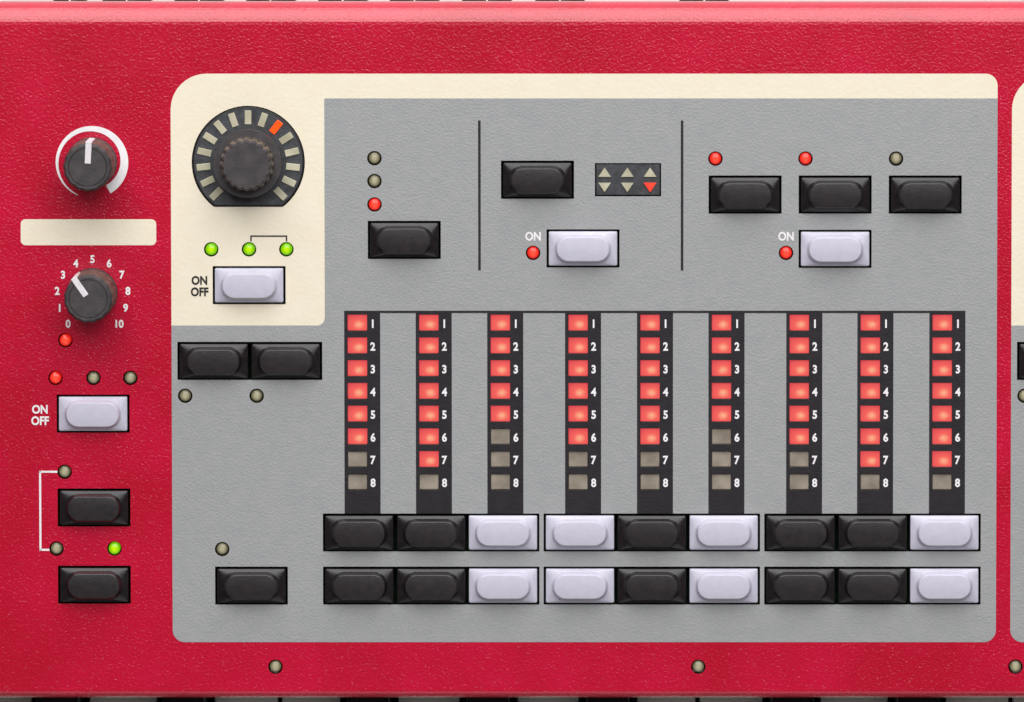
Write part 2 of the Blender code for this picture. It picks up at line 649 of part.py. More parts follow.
def panel_cutters():
    """Everything that is cut out of the top panel, in the panel's frame."""
    low, high = -3 * SHEET, 3 * SHEET
    opening = (CAP_WIDTH + 2 * OPENING_MARGIN, CAP_DEPTH + 2 * OPENING_MARGIN_DEPTH)
    cutters = []

    def opening_for(centre, caps=1):
        width = opening[0] + (caps - 1) * CAP_PITCH
        cutters.append(block("opening", on_panel(centre), (width, opening[1]), low, high))

    for u, v, _ in SINGLE_BUTTONS.values():
        opening_for((u, v))
    opening_for(OCTAVE_PAIR, 2)
    for group in DRAWBAR_GROUPS:
        opening_for((group, DRAWBAR_UP_ROW), CAPS_PER_GROUP)
        opening_for((group, DRAWBAR_DOWN_ROW), CAPS_PER_GROUP)
    for centre, caps in fixed_cap_rows():
        opening_for(centre, caps)
    for column in window_columns():
        for row in range(WINDOW_COUNT):
            centre = on_panel((column, WINDOW_TOP_ROW - row * WINDOW_PITCH))
            cutters.append(block("window", centre, (WINDOW_WIDTH, WINDOW_HEIGHT), low, high))
    for centre in led_centres():
        cutters.append(rod("led_hole", centre, LED_HOLE_RADIUS, low, high, LED_SIDES))
    cutters.append(block("indicator", on_panel(INDICATOR), INDICATOR_SIZE, low, high))
    cutters.append(block("display", on_panel(DISPLAY), DISPLAY_SIZE, low, high))
    for centre in (MASTER_KNOB, DRIVE_KNOB) + FIXED_KNOBS + fixed_level_centres():
        cutters.append(rod("shaft_hole", on_panel(centre), SHAFT_HOLE_RADIUS, low, high,
                           SHAFT_HOLE_SIDES))
    bezel = outline_solid("bezel_hole", bezel_outline(BEZEL_RADIUS + FIT, BEZEL_FLAT + FIT), low, high)
    bezel.data.transform(Matrix.Translation((*on_panel(LEVEL_KNOB), 0)))
    cutters.append(bezel)
    slot_half = math.sqrt(WHEEL_RADIUS ** 2 - (WHEEL_AXLE_DROP - SHEET) ** 2) + WHEEL_SLOT_MARGIN
    for centre in (PITCH_WHEEL, MOD_WHEEL):
        size = (WHEEL_WIDTH + 2 * WHEEL_SLOT_MARGIN, 2 * slot_half)
        cutters.append(block("wheel_slot", on_panel(centre), size, low, high))
    return cutters


def rear_wall_cutters():
    """Holes for the sockets and the power switch, in the instrument's frame."""
    low, high = REAR_WALL_Y - 3 * SHEET, REAR_WALL_Y + 3 * SHEET
    cutters = []
    for u in JACKS:
        cutters.append(rod("jack_hole", (DATUM_X + u, 0, SOCKET_HEIGHT),
                           JACK_BUSHING_RADIUS + WALL_HOLE_MARGIN, low, high, JACK_SIDES, turn=ALONG_Y))
    cutters.append(rod("mini_hole", (DATUM_X + MINI_JACK, 0, SOCKET_HEIGHT),
                       MINI_BUSHING_RADIUS + WALL_HOLE_MARGIN, low, high, JACK_SIDES, turn=ALONG_Y))
    for u, body in ((USB_SOCKET, USB_BODY), (INLET, INLET_BODY), (ROCKER, ROCKER_BODY)):
        half = [side / 2 + WALL_HOLE_MARGIN for side in body]
        cutters.append(box("socket_hole", (DATUM_X + u - half[0], low, SOCKET_HEIGHT - half[1]),
                           (DATUM_X + u + half[0], high, SOCKET_HEIGHT + half[1])))
    return cutters


def wheel_tabs():
    """The bracket tabs under the panel that carry the axles of the two wheels."""
    tabs = []
    for centre in (PITCH_WHEEL, MOD_WHEEL):
        x, y = on_panel(centre)
        for side in (-1, 1):
            inner = x + side * (WHEEL_WIDTH / 2 + TAB_CLEARANCE)
            outer = inner + side * TAB_THICKNESS
            tab = box("tab", (min(inner, outer), y - TAB_DEPTH / 2, -WHEEL_AXLE_DROP - TAB_BELOW_AXLE),
                      (max(inner, outer), y + TAB_DEPTH / 2, -SHEET + SINK))
            hole = rod("axle_hole", ((inner + outer) / 2, y, -WHEEL_AXLE_DROP),
                       (AXLE_RADIUS + FIT) / math.cos(math.pi / AXLE_SIDES), -TAB_THICKNESS,
                       TAB_THICKNESS, AXLE_SIDES, turn=ALONG_X)
            tabs.append(cut(tab, [hole]))
    return tabs


def build_top_panel(frame):
    """One sheet: front lip, sloping deck, rear bend and rear wall, with all its openings."""
    slope = Vector((math.cos(PANEL_SLOPE), math.sin(PANEL_SLOPE)))
    normal = Vector((-slope.y, slope.x))
    front = Vector((PANEL_FRONT_Y, PANEL_FRONT_HEIGHT))
    corners = [tuple(front - normal * LIP_HEIGHT), tuple(front),
               (REAR_WALL_Y, PANEL_REAR_HEIGHT), (REAR_WALL_Y, FOOT_HEIGHT)]
    path = rounded(corners, (0, LIP_BEND, REAR_BEND, 0), 3, closed=False)
    half = KEYBOARD_WIDTH / 2
    panel = folded_sheet("panel", path, half)
    to_frame = frame.matrix_world
    tabs = wheel_tabs()
    cutters = panel_cutters()
    for piece in tabs + cutters:
        piece.data.transform(to_frame)
    panel = cut(panel, cutters + rear_wall_cutters())
    finish(fuse([panel] + tabs), "top_panel", RED, 0.45)


def build_bottom_tray():
    """The folded tray: rear flange, floor, key slip front, slip top and its turned-down edge."""
    rear = REAR_WALL_Y - SHEET - FIT
    slip_rear = FRONT_Y + SLIP_DEPTH
    corners = [(rear, FOOT_HEIGHT + TRAY_REAR_FLANGE), (rear, FOOT_HEIGHT), (FRONT_Y, FOOT_HEIGHT),
               (FRONT_Y, SLIP_HEIGHT), (slip_rear, SLIP_HEIGHT), (slip_rear, SLIP_HEIGHT - SLIP_FLANGE)]
    radii = (0, LIP_BEND, TRAY_BEND, TRAY_BEND, LIP_BEND, 0)
    path = rounded(corners, radii, 3, closed=False)
    tray = folded_sheet("tray", path, KEYBOARD_WIDTH / 2)
    finish(tray, "bottom_tray", RED, 0.5)


def build_cheeks():
    """The two end cheeks: key block, sweep up to the panel, and the panel's slope."""
    rise = CHEEK_RISE
    sweep_top = (PANEL_FRONT_Y, PANEL_FRONT_HEIGHT + rise)
    corners = [(FRONT_Y, FOOT_HEIGHT), (FRONT_Y, CHEEK_BLOCK_HEIGHT),
               (PANEL_FRONT_Y - CHEEK_SWEEP_RUN, CHEEK_BLOCK_HEIGHT), sweep_top,
               (REAR_WALL_Y, PANEL_REAR_HEIGHT + rise), (REAR_WALL_Y, FOOT_HEIGHT)]
    radii = (TRAY_BEND, CHEEK_FRONT_RADIUS, CHEEK_SWEEP_RADIUS, CHEEK_SWEEP_RADIUS, REAR_BEND, 0)
    outline = rounded(corners, radii, 5)
    inner = KEYBOARD_WIDTH / 2 + FIT
    for name, side in (("left_cheek", -1), ("right_cheek", 1)):
        ends = sorted((side * inner, side * (inner + CHEEK_WIDTH)))
        cheek = side_outline_solid(name, outline, *ends)
        shape = bmesh.new()
        shape.from_mesh(cheek.data)
        outer = side * (inner + CHEEK_WIDTH)
        rim = [edge for edge in shape.edges
               if all(abs(vertex.co.x - outer) < FIT for vertex in edge.verts)
               and len({face.normal.to_tuple(1) for face in edge.link_faces}) > 1]
        bmesh.ops.bevel(shape, geom=rim, offset=CHEEK_EDGE, segments=2, profile=0.5, affect="EDGES")
        shape.to_mesh(cheek.data)
        shape.free()
        finish(cheek, name, RED, 0.5)


def foot_centres():
    half_width = KEYBOARD_WIDTH / 2 - FOOT_INSET_X
    return {"front_left_foot": (-half_width, FRONT_Y + FOOT_INSET_Y),
            "front_right_foot": (half_width, FRONT_Y + FOOT_INSET_Y),
            "rear_left_foot": (-half_width, REAR_WALL_Y - FOOT_INSET_Y),
            "rear_right_foot": (half_width, REAR_WALL_Y - FOOT_INSET_Y)}


def build_feet():
    """Round rubber feet with a recess for the screw that holds them."""
    for name, centre in foot_centres().items():
        top = FOOT_HEIGHT - FIT
        profile = [(0, top), (FOOT_RADIUS, top), (FOOT_RADIUS - FOOT_TAPER, FOOT_TAPER),
                   (FOOT_RADIUS - 2 * FOOT_TAPER, 0), (FOOT_RECESS_RADIUS, 0),
                   (FOOT_RECESS_RADIUS, FOOT_RECESS_DEPTH), (0, FOOT_RECESS_DEPTH)]
        foot = turned(name, profile, FOOT_SIDES)
        finish(foot, name, "1c1c1d", 0.85, place=(*centre, 0))


def button_shape():
    """A cap with a flange under the panel, a sloping shoulder and a raised pad with round ends."""
    flange_top = -SHEET - FIT
    flange_low = flange_top - FLANGE_THICKNESS
    cap = CAP_DEPTH / 2
    flange = cap + OPENING_MARGIN_DEPTH + FLANGE_REACH
    profile = [(-flange, flange_low), (flange, flange_low), (flange, flange_top), (cap, flange_top),
               (cap, CAP_EDGE), (-cap, CAP_EDGE), (-cap, flange_top), (-flange, flange_top)]
    button = side_outline_solid("button", profile, -CAP_WIDTH / 2, CAP_WIDTH / 2)
    shape = bmesh.new()
    shape.from_mesh(button.data)
    top = [face for face in shape.faces if all(v.co.z > CAP_EDGE - SINK for v in face.verts)]
    bmesh.ops.delete(shape, geom=top, context="FACES_ONLY")
    shoulder_top = CAP_EDGE + CAP_SHOULDER
    ring = bmesh.ops.create_circle(shape, cap_ends=True, radius=PAD_DEPTH / 2, segments=PAD_SIDES)
    bmesh.ops.rotate(shape, matrix=Matrix.Rotation(math.pi / PAD_SIDES, 3, "Z"), cent=(0, 0, 0),
                     verts=ring["verts"])
    for vertex in ring["verts"]:
        vertex.co.x += math.copysign((PAD_WIDTH - PAD_DEPTH) / 2, vertex.co.x)
        vertex.co.z = shoulder_top
    pad = [face for face in shape.faces if all(v in ring["verts"] for v in face.verts)]
    raised = bmesh.ops.extrude_face_region(shape, geom=pad)["geom"]
    bmesh.ops.delete(shape, geom=pad, context="FACES_ONLY")
    bmesh.ops.translate(shape, vec=(0, 0, PAD_RISE),
                        verts=[item for item in raised if isinstance(item, bmesh.types.BMVert)])
    bmesh.ops.bridge_loops(shape, edges=[edge for edge in shape.edges if edge.is_boundary])
    bmesh.ops.recalc_face_normals(shape, faces=shape.faces)
    shape.to_mesh(button.data)
    shape.free()
    return button


def button_places():
    """Every button that travels: its name, its place on the panel and its colour."""
    places = [(name, (u, v), colour) for name, (u, v, colour) in SINGLE_BUTTONS.items()]
    for side, name in zip((-0.5, 0.5), OCTAVE_NAMES):
        places.append((name, (OCTAVE_PAIR[0] + side * CAP_PITCH, OCTAVE_PAIR[1]), BLACK))
    for row, kind in ((DRAWBAR_UP_ROW, "up"), (DRAWBAR_DOWN_ROW, "down")):
        for number, colour in enumerate(DRAWBAR_CAPS):
            group, slot = divmod(number, CAPS_PER_GROUP)
            u = DRAWBAR_GROUPS[group] + (slot - 1) * CAP_PITCH
            places.append((f"drawbar_{number + 1}_{kind}_button", (u, row), colour))
    return places


def build_buttons(frame):
    pattern = button_shape()
    for name, centre, colour in button_places():
        button = new_object(name, pattern.data.copy(), WORKBENCH)
        finish(button, name, colour, 0.4, frame=frame, place=(*on_panel(centre), 0))
    bpy.data.objects.remove(pattern, do_unlink=True)


def window_columns():
    """The middle of each drawbar's column of windows."""
    return [group + WINDOW_OFFSET + (slot - 1) * WINDOW_COLUMN_PITCH
            for group in DRAWBAR_GROUPS for slot in range(CAPS_PER_GROUP)]


def led_centres():
    split = [(natural_left(index), SPLIT_LED_ROW) for index in SPLIT_LED_KEYS]
    return [on_panel(centre) for centre in LEDS] + split


def fixed_level_centres():
    return tuple((LEVEL_KNOB[0] + shift, LEVEL_KNOB[1]) for shift in FIXED_COLUMNS)


def fixed_cap_rows():
    """The caps of the sections that stay still: their rows, and two columns like the organ's."""
    rows = list(FIXED_CAP_ROWS)
    for shift in FIXED_COLUMNS:
        for name in ("zone_button", "preset_button"):
            u, v, _ = SINGLE_BUTTONS[name]
            rows.append(((u + shift, v), 1))
        rows.append(((OCTAVE_PAIR[0] + shift, OCTAVE_PAIR[1]), 2))
    return rows


def fixed_cap_centres():
    return [(u + (slot - (caps - 1) / 2) * CAP_PITCH, v)
            for (u, v), caps in fixed_cap_rows() for slot in range(caps)]


def fixed_cap(centre):
    """A cap of the fixed sections, standing on the board, its top drawn in to the pad."""
    cap = block("fixed_cap", centre, (CAP_WIDTH, CAP_DEPTH), -BOARD_DROP - SINK, CAP_EDGE)
    shape = bmesh.new()
    shape.from_mesh(cap.data)
    top = [face for face in shape.faces if all(v.co.z > CAP_EDGE - SINK for v in face.verts)]
    raised = bmesh.ops.extrude_discrete_faces(shape, faces=top)["faces"][0].verts
    bmesh.ops.scale(shape, vec=(PAD_WIDTH / CAP_WIDTH, PAD_DEPTH / CAP_DEPTH, 1),
                    space=Matrix.Translation((-centre[0], -centre[1], 0)), verts=raised)
    bmesh.ops.translate(shape, vec=(0, 0, CAP_SHOULDER + PAD_RISE), verts=raised)
    shape.to_mesh(cap.data)
    shape.free()
    return cap


def pot(centre, shaft_height):
    """A pot or encoder on the board: its body and its shaft through the panel."""
    body = block("pot", centre, POT_SIZE[:2], -BOARD_DROP - SINK, -BOARD_DROP + POT_SIZE[2])
    shaft = rod("shaft", centre, SHAFT_RADIUS, -BOARD_DROP, shaft_height, SHAFT_SIDES)
    return [body, shaft]


def fixed_knob(centre, radius, height):
    """A knob of the fixed sections on its shaft."""
    shaft = rod("shaft", centre, SHAFT_RADIUS, -BOARD_DROP - SINK, KNOB_LIFT + SINK, 6)
    cap = rod("knob", centre, radius, KNOB_LIFT, height, FIXED_KNOB_SIDES,
              top_radius=radius * KNOB_TOP_RADIUS / KNOB_SKIRT_RADIUS)
    return [shaft, cap]


def build_control_board(frame):
    """The board under the panel: switches, LED modules, LEDs, pots, and the fixed controls."""
    low, high = on_panel(BOARD_START), on_panel(BOARD_END)
    pieces = [box("board", (*low, -BOARD_DROP - BOARD), (*high, -BOARD_DROP))]
    under = -BOARD_DROP - SINK
    switch_top = -SHEET - FIT - FLANGE_THICKNESS - BUTTON_TRAVEL - FIT
    for _, centre, _ in button_places():
        pieces.append(block("switch", on_panel(centre), (SWITCH_SIZE, SWITCH_SIZE), under, switch_top))
    bar_length = (WINDOW_COUNT - 1) * WINDOW_PITCH + WINDOW_HEIGHT + 2 * BAR_MARGIN
    bar_middle = WINDOW_TOP_ROW - (WINDOW_COUNT - 1) * WINDOW_PITCH / 2
    for column in window_columns():
        pieces.append(block("led_bar", on_panel((column, bar_middle)),
                            (WINDOW_WIDTH + 2 * BAR_MARGIN, bar_length), under, -SHEET - FIT))
    for centre in led_centres():
        pieces.append(rod("led", centre, LED_RADIUS, under, LED_RISE, LED_SIDES))
    for centre, size, margin in ((INDICATOR, INDICATOR_SIZE, INDICATOR_MARGIN),
                                 (DISPLAY, DISPLAY_SIZE, DISPLAY_MARGIN)):
        inside = [side - 2 * margin for side in size]
        pieces.append(block("window_module", on_panel(centre), inside, under, 0))
    for centre in POSTS:
        pieces.append(rod("spacer", on_panel(centre), POST_RADIUS, under, -SHEET - FIT, 6))
    for centre, height in ((MASTER_KNOB, SHAFT_HEIGHT), (DRIVE_KNOB, SHAFT_HEIGHT),
                           (LEVEL_KNOB, LEVEL_SHAFT_HEIGHT)):
        pieces += pot(on_panel(centre), height)
    for centre in fixed_cap_centres():
        pieces.append(fixed_cap(on_panel(centre)))
    for centre in FIXED_KNOBS:
        pieces += fixed_knob(on_panel(centre), KNOB_SKIRT_RADIUS, KNOB_HEIGHT)
    for centre in fixed_level_centres():
        pieces += fixed_knob(on_panel(centre), LEVEL_SKIRT_RADIUS, LEVEL_HEIGHT)
    finish(fuse(pieces), "control_board", "2f5a3c", 0.6, frame=frame)


def bezel_outline(radius, flat):
    """A circle with a straight lower edge."""
    start = -math.asin(flat / radius)
    sweep = math.pi - 2 * start
    return [(radius * math.cos(start + sweep * step / BEZEL_SIDES),
             radius * math.sin(start + sweep * step / BEZEL_SIDES)) for step in range(BEZEL_SIDES + 1)]


def build_level_bezel(frame):
    """The dark window of the LED ring: flush in the panel, held by a flange below it."""
    face = outline_solid("bezel", bezel_outline(BEZEL_RADIUS, BEZEL_FLAT),
                         -SHEET - FIT - SINK, BEZEL_RISE)
    flange = outline_solid("flange", bezel_outline(BEZEL_RADIUS + BEZEL_FLANGE, BEZEL_FLAT + BEZEL_FLANGE),
                           -SHEET - FIT - BEZEL_FLANGE_THICKNESS, -SHEET - FIT)
    hole = rod("bezel_bore", (0, 0), BEZEL_HOLE_RADIUS, -3 * SHEET, 3 * SHEET, SHAFT_SIDES)
    bezel = cut(fuse([face, flange]), [hole])
    finish(bezel, "level_ring_bezel", "1a1717", 0.25, frame=frame, place=(*on_panel(LEVEL_KNOB), 0))


def knob(skirt_radius, skirt_height, radius, top_radius, height, shaft_height, sides):
    """A turned knob with a blind bore for its shaft."""
    bore = (SHAFT_RADIUS + SHAFT_FIT) / math.cos(math.pi / SHAFT_SIDES)
    bore_top = shaft_height + FIT
    low = KNOB_LIFT
    profile = [(0, height), (top_radius, height), (radius, low + skirt_height),
               (skirt_radius, low + skirt_height - FIT), (skirt_radius, low), (bore, low),
               (bore, bore_top), (0, bore_top)]
    return turned("knob", profile, sides)


def pointer(radius, low, height):
    """The raised line over a knob's top and down its side."""
    return box("pointer", (-POINTER_WIDTH / 2, POINTER_START, low),
               (POINTER_WIDTH / 2, radius + POINTER_RISE, height + POINTER_RISE))


def build_knobs(frame):
    for name, centre, angle in (("master_knob", MASTER_KNOB, MASTER_POINTER),
                                ("drive_knob", DRIVE_KNOB, DRIVE_POINTER)):
        small = knob(KNOB_SKIRT_RADIUS, KNOB_SKIRT_HEIGHT, KNOB_RADIUS, KNOB_TOP_RADIUS, KNOB_HEIGHT,
                     SHAFT_HEIGHT, KNOB_SIDES)
        line = pointer(KNOB_RADIUS, SHAFT_HEIGHT + 4 * FIT, KNOB_HEIGHT)
        small = fuse([small, line])
        finish(small, name, BLACK, 0.6, frame=frame, place=(*on_panel(centre), 0), turn=angle)
    level = knob(LEVEL_SKIRT_RADIUS, LEVEL_SKIRT_HEIGHT, LEVEL_RADIUS, LEVEL_TOP_RADIUS,
                 LEVEL_HEIGHT, LEVEL_SHAFT_HEIGHT, 2 * LEVEL_FLUTES)
    flute_low = KNOB_LIFT + LEVEL_SKIRT_HEIGHT - FIT / 2
    for vertex in level.data.vertices:
        across = Vector((vertex.co.x, vertex.co.y))
        if vertex.co.z < flute_low or across.length < (SHAFT_RADIUS + LEVEL_RADIUS) / 2:
            continue
        wave = math.cos(LEVEL_FLUTES * math.atan2(across.y, across.x))
        across *= 1 - FLUTE_DEPTH * (1 - wave) / 2 / across.length
        vertex.co.x, vertex.co.y = across
    finish(level, "level_knob", BLACK, 0.6, frame=frame, place=(*on_panel(LEVEL_KNOB), 0))


def build_wheels(frame):
    """The pitch and modulation wheels, each on an axle across the instrument."""
    for name, centre, rest in (("pitch_wheel", PITCH_WHEEL, 0), ("mod_wheel", MOD_WHEEL, MOD_WHEEL_REST)):
        half = WHEEL_WIDTH / 2
        disc = rod(name, (0, 0, 0), WHEEL_RADIUS, -half, half, WHEEL_SIDES, turn=ALONG_X)
        axle = rod("axle", (0, 0, 0), AXLE_RADIUS, -half - AXLE_REACH, half + AXLE_REACH, AXLE_SIDES,
                   turn=ALONG_X)
        wheel = fuse([disc, axle])
        grip_height = WHEEL_RADIUS - WHEEL_GRIP_DEPTH + WHEEL_GRIP_RADIUS
        grip = rod("grip", (0, 0, grip_height), WHEEL_GRIP_RADIUS, -WHEEL_WIDTH, WHEEL_WIDTH,
                   WHEEL_GRIP_SIDES, turn=ALONG_X)
        wheel = cut(wheel, [grip])
        finish(wheel, name, "232224", 0.55, frame=frame, place=(*on_panel(centre), -WHEEL_AXLE_DROP))
        wheel.rotation_euler[0] = rest


def socket(u, body):
    """A rectangular socket body through the rear wall."""
    x = DATUM_X + u
    return box("socket", (x - body[0] / 2, REAR_WALL_Y - SOCKET_DEPTH, SOCKET_HEIGHT - body[1] / 2),
               (x + body[0] / 2, REAR_WALL_Y + FLUSH_REACH, SOCKET_HEIGHT + body[1] / 2))


def cavity(u, size):
    """The hollow of a rectangular socket, open to the rear."""
    x, y = DATUM_X + u, REAR_WALL_Y + FLUSH_REACH
    return box("cavity", (x - size[0] / 2, y - size[2], SOCKET_HEIGHT - size[1] / 2),
               (x + size[0] / 2, y + SHEET, SOCKET_HEIGHT + size[1] / 2))


def jack(u, body, bushing, bore):
    """A jack: its body inside the wall, its bushing through it, and the cutter of its bore."""
    x = DATUM_X + u
    inside = REAR_WALL_Y - SHEET - FIT
    case = box("jack", (x - body / 2, REAR_WALL_Y - SOCKET_DEPTH, SOCKET_HEIGHT - body / 2),
               (x + body / 2, inside, SOCKET_HEIGHT + body / 2))
    end = REAR_WALL_Y + BUSHING_REACH
    barrel = rod("barrel", (x, 0, SOCKET_HEIGHT), bushing, inside - SINK, end, JACK_SIDES, turn=ALONG_Y)
    hole = rod("bore", (x, 0, SOCKET_HEIGHT), bore, end - JACK_BORE_DEPTH, end + SHEET, JACK_SIDES,
               turn=ALONG_Y)
    return [case, barrel], hole


def build_socket_board():
    """The board behind the rear wall with its jacks, USB and mains sockets."""
    front = REAR_WALL_Y - SOCKET_DEPTH
    pieces = [box("io_board", (DATUM_X + IO_BOARD_START, front - BOARD + SINK, IO_BOARD_BOTTOM),
                  (DATUM_X + IO_BOARD_END, front + SINK, IO_BOARD_TOP))]
    holes = []
    for u in JACKS:
        solids, hole = jack(u, JACK_BODY, JACK_BUSHING_RADIUS, JACK_BORE_RADIUS)
        pieces += solids
        holes.append(hole)
    solids, hole = jack(MINI_JACK, MINI_JACK_BODY, MINI_BUSHING_RADIUS, MINI_BORE_RADIUS)
    pieces += solids
    holes.append(hole)
    for u, body, hollow in ((USB_SOCKET, USB_BODY, USB_CAVITY), (INLET, INLET_BODY, INLET_CAVITY),
                            (ROCKER, ROCKER_BODY, ROCKER_CAVITY)):
        pieces.append(socket(u, body))
        holes.append(cavity(u, hollow))
    board = cut(fuse(pieces), holes)
    pin = rod("pin", (DATUM_X + ROCKER, REAR_WALL_Y - ROCKER_AXIS_DEPTH, SOCKET_HEIGHT),
              ROCKER_PIN_RADIUS, -ROCKER_CAVITY[0] / 2 - SINK, ROCKER_CAVITY[0] / 2 + SINK, 8,
              turn=ALONG_X)
    finish(fuse([board, pin]), "socket_board", "232326", 0.5)


def build_power_rocker():
    """The rocker of the mains switch, bored for the pin it tips on."""
    width, height, depth = ROCKER_SIZE
    rocker = box("rocker", (-width / 2, -depth / 2, -height / 2), (width / 2, depth / 2, height / 2))
    for vertex in rocker.data.vertices:
        if vertex.co.y < 0:
            vertex.co.z *= 1 - depth / height / 2
    bore = rod("rocker_bore", (0, 0, 0), (ROCKER_PIN_RADIUS + ROCKER_PIN_FIT) / math.cos(math.pi / 8),
               -width, width, 8, turn=ALONG_X)
    rocker = cut(rocker, [bore])
    place = (DATUM_X + ROCKER, REAR_WALL_Y - ROCKER_AXIS_DEPTH, SOCKET_HEIGHT)
    finish(rocker, "power_rocker", BLACK, 0.4, place=place)
    rocker.rotation_euler[0] = -ROCKER_TILT


def build_main_board():
    """The main board behind the key chassis, on its spacers, with the supply and its chips."""
    front = CHASSIS_REAR + MAIN_BOARD_GAP
    rear = front + MAIN_BOARD_DEPTH
    floor = FOOT_HEIGHT + SHEET + FIT
    low, top = floor + MAIN_BOARD_LIFT, floor + MAIN_BOARD_LIFT + BOARD
    left, right = MAIN_BOARD_X
    middle = (front + rear) / 2
    pieces = [box("main_board", (left, front, low), (right, rear, top))]
    for x in (left + MAIN_POST_INSET, (left + right) / 2, right - MAIN_POST_INSET):
        pieces.append(rod("spacer", (x, middle), MAIN_POST_RADIUS, floor, low + SINK, 8))
    can = (right - SUPPLY_CAN[0], middle)
    pieces.append(block("supply", can, SUPPLY_CAN[:2], top - SINK, top + SUPPLY_CAN[2]))
    for x, size in MAIN_CHIPS:
        pieces.append(block("chip", (x, middle), (size, size), top - SINK, top + MAIN_CHIP_HEIGHT))
    finish(fuse(pieces), "main_board", "2f5a3c", 0.6)


def main():
    frame = bpy.data.objects.new("panel_frame", None)
    INSTRUMENT.objects.link(frame)
    frame.location = (0, PANEL_FRONT_Y, PANEL_FRONT_HEIGHT)
    frame.rotation_euler = (PANEL_SLOPE, 0, 0)
    bpy.context.view_layer.update()
    build_bottom_tray()
    build_cheeks()
    build_feet()
    build_top_panel(frame)
    build_keybed()
    build_key_rail()
    build_playable_keys()
    build_control_board(frame)
    build_level_bezel(frame)
    build_knobs(frame)
    build_buttons(frame)
    build_wheels(frame)
    build_socket_board()
    build_power_rocker()
    build_main_board()
    bpy.data.collections.remove(WORKBENCH)


reset_scene()
INSTRUMENT = new_collection("stage_piano")
WORKBENCH = new_collection("workbench")
main()
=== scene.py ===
import math

import bmesh
import bpy
from mathutils import Matrix, Vector


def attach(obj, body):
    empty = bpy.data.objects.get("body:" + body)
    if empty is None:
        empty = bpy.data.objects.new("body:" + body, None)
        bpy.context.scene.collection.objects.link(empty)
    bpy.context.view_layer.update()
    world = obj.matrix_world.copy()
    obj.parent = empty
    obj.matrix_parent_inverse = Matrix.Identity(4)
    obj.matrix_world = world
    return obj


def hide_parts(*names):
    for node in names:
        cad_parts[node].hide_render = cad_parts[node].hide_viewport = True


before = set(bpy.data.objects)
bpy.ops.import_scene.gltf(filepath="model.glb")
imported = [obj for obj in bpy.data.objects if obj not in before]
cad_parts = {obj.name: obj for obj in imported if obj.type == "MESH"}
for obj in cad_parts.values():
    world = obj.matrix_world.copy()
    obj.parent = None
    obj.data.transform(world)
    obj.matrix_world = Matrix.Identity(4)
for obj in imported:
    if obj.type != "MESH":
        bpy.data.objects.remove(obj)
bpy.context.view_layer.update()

MM = 0.001
NEAR = 1e-6                   # between a corner and the place it is looked for
ACROSS = (0, math.pi / 2, 0)  # turns a cylinder along the keyboard
REARWARD = (math.pi / 2, 0, 0)

# The panel: X from the datum along the keyboard, Y up the slope from its front edge
DATUM_X = -0.3794
PANEL_FRONT_Y = 0.011097
PANEL_FRONT_HEIGHT = 0.092
PANEL_SLOPE = math.radians(5.0)
PANEL_DEPTH = 0.156
PANEL_HALF = 0.5067765
PANEL = (Matrix.Translation((0, PANEL_FRONT_Y, PANEL_FRONT_HEIGHT))
         @ Matrix.Rotation(PANEL_SLOPE, 4, "X"))
PANEL_UP = PANEL.to_3x3() @ Vector((0, 0, 1))
SHEET = 0.0015
LIP_HEIGHT = 0.008
LIP_BEND = 0.002
REAR_BEND = 0.005
FOOT_HEIGHT = 0.008
FRONT_Y = -0.171503
REAR_WALL_Y = 0.166503
WALL_INSIDE = REAR_WALL_Y - SHEET - 0.0003
PRINT_LIFT = 0.00003          # one layer of screen print
PRINT_STEP = 0.00002

# Controls, measured on the panel in metres
CAP_SIZE = (0.0155, 0.0080)
CAP_PITCH = 0.0160
CAP_MARGIN = (0.00035, 0.00025)
LED_HOLE = 0.00162
LED_LENS = 0.00130
WINDOW_SIZE = (0.0044, 0.0036)
WINDOW_PITCH = 0.00508
WINDOW_TOP = 0.0842
WINDOW_ROWS = 8
COLUMN_MIDDLES = (0.0807, 0.0966, 0.1125, 0.1298, 0.1458, 0.1617, 0.1790, 0.1948, 0.2108)
COLUMN_LIT = (6, 7, 5, 6, 6, 5, 6, 7, 7)
WINDOW_SHIFT = -0.0011        # of the windows from the middle of their printed column
DRAWBAR_GROUPS = (0.09595, 0.1451, 0.19425)
DRAWBAR_ROWS = {"up": 0.0373, "down": 0.0254}
WHITE_DRAWBARS = (3, 4, 6, 9)
MASTER_KNOB = (0.0208, 0.1200)
DRIVE_KNOB = (0.0208, 0.0909)
LEVEL_KNOB = (0.0555, 0.1200)
INDICATOR = (0.1398, 0.1161)
DISPLAY = (0.4230, 0.1130)


# Finishes

def linear(code):
    """An sRGB hex colour as linear light."""
    parts = [int(code[i:i + 2], 16) / 255 for i in (0, 2, 4)]
    return [c / 12.92 if c <= 0.04045 else ((c + 0.055) / 1.055) ** 2.4 for c in parts] + [1.0]


def feed(node, inputs):
    """Sets a node's inputs, each to a value or to another node's output."""
    for name, value in inputs.items():
        if isinstance(value, bpy.types.NodeSocket):
            node.id_data.links.new(value, node.inputs[name])
        else:
            node.inputs[name].default_value = value


def add(tree, kind, inputs=None, **settings):
    """Adds a node with its settings and inputs."""
    made = tree.nodes.new("ShaderNode" + kind)
    for name, value in settings.items():
        setattr(made, name, value)
    feed(made, inputs or {})
    return made


def finish(name, roughness, ior=1.5, metallic=0.0, coat=0.0):
    """A material, its node tree, its shader and the piece's own coordinates."""
    material = bpy.data.materials.new(name)
    material.use_nodes = True
    tree = material.node_tree
    shader = tree.nodes["Principled BSDF"]
    feed(shader, {"Roughness": roughness, "IOR": ior, "Metallic": metallic, "Coat Weight": coat})
    place = add(tree, "TexCoord").outputs["Object"]
    return material, tree, shader, place


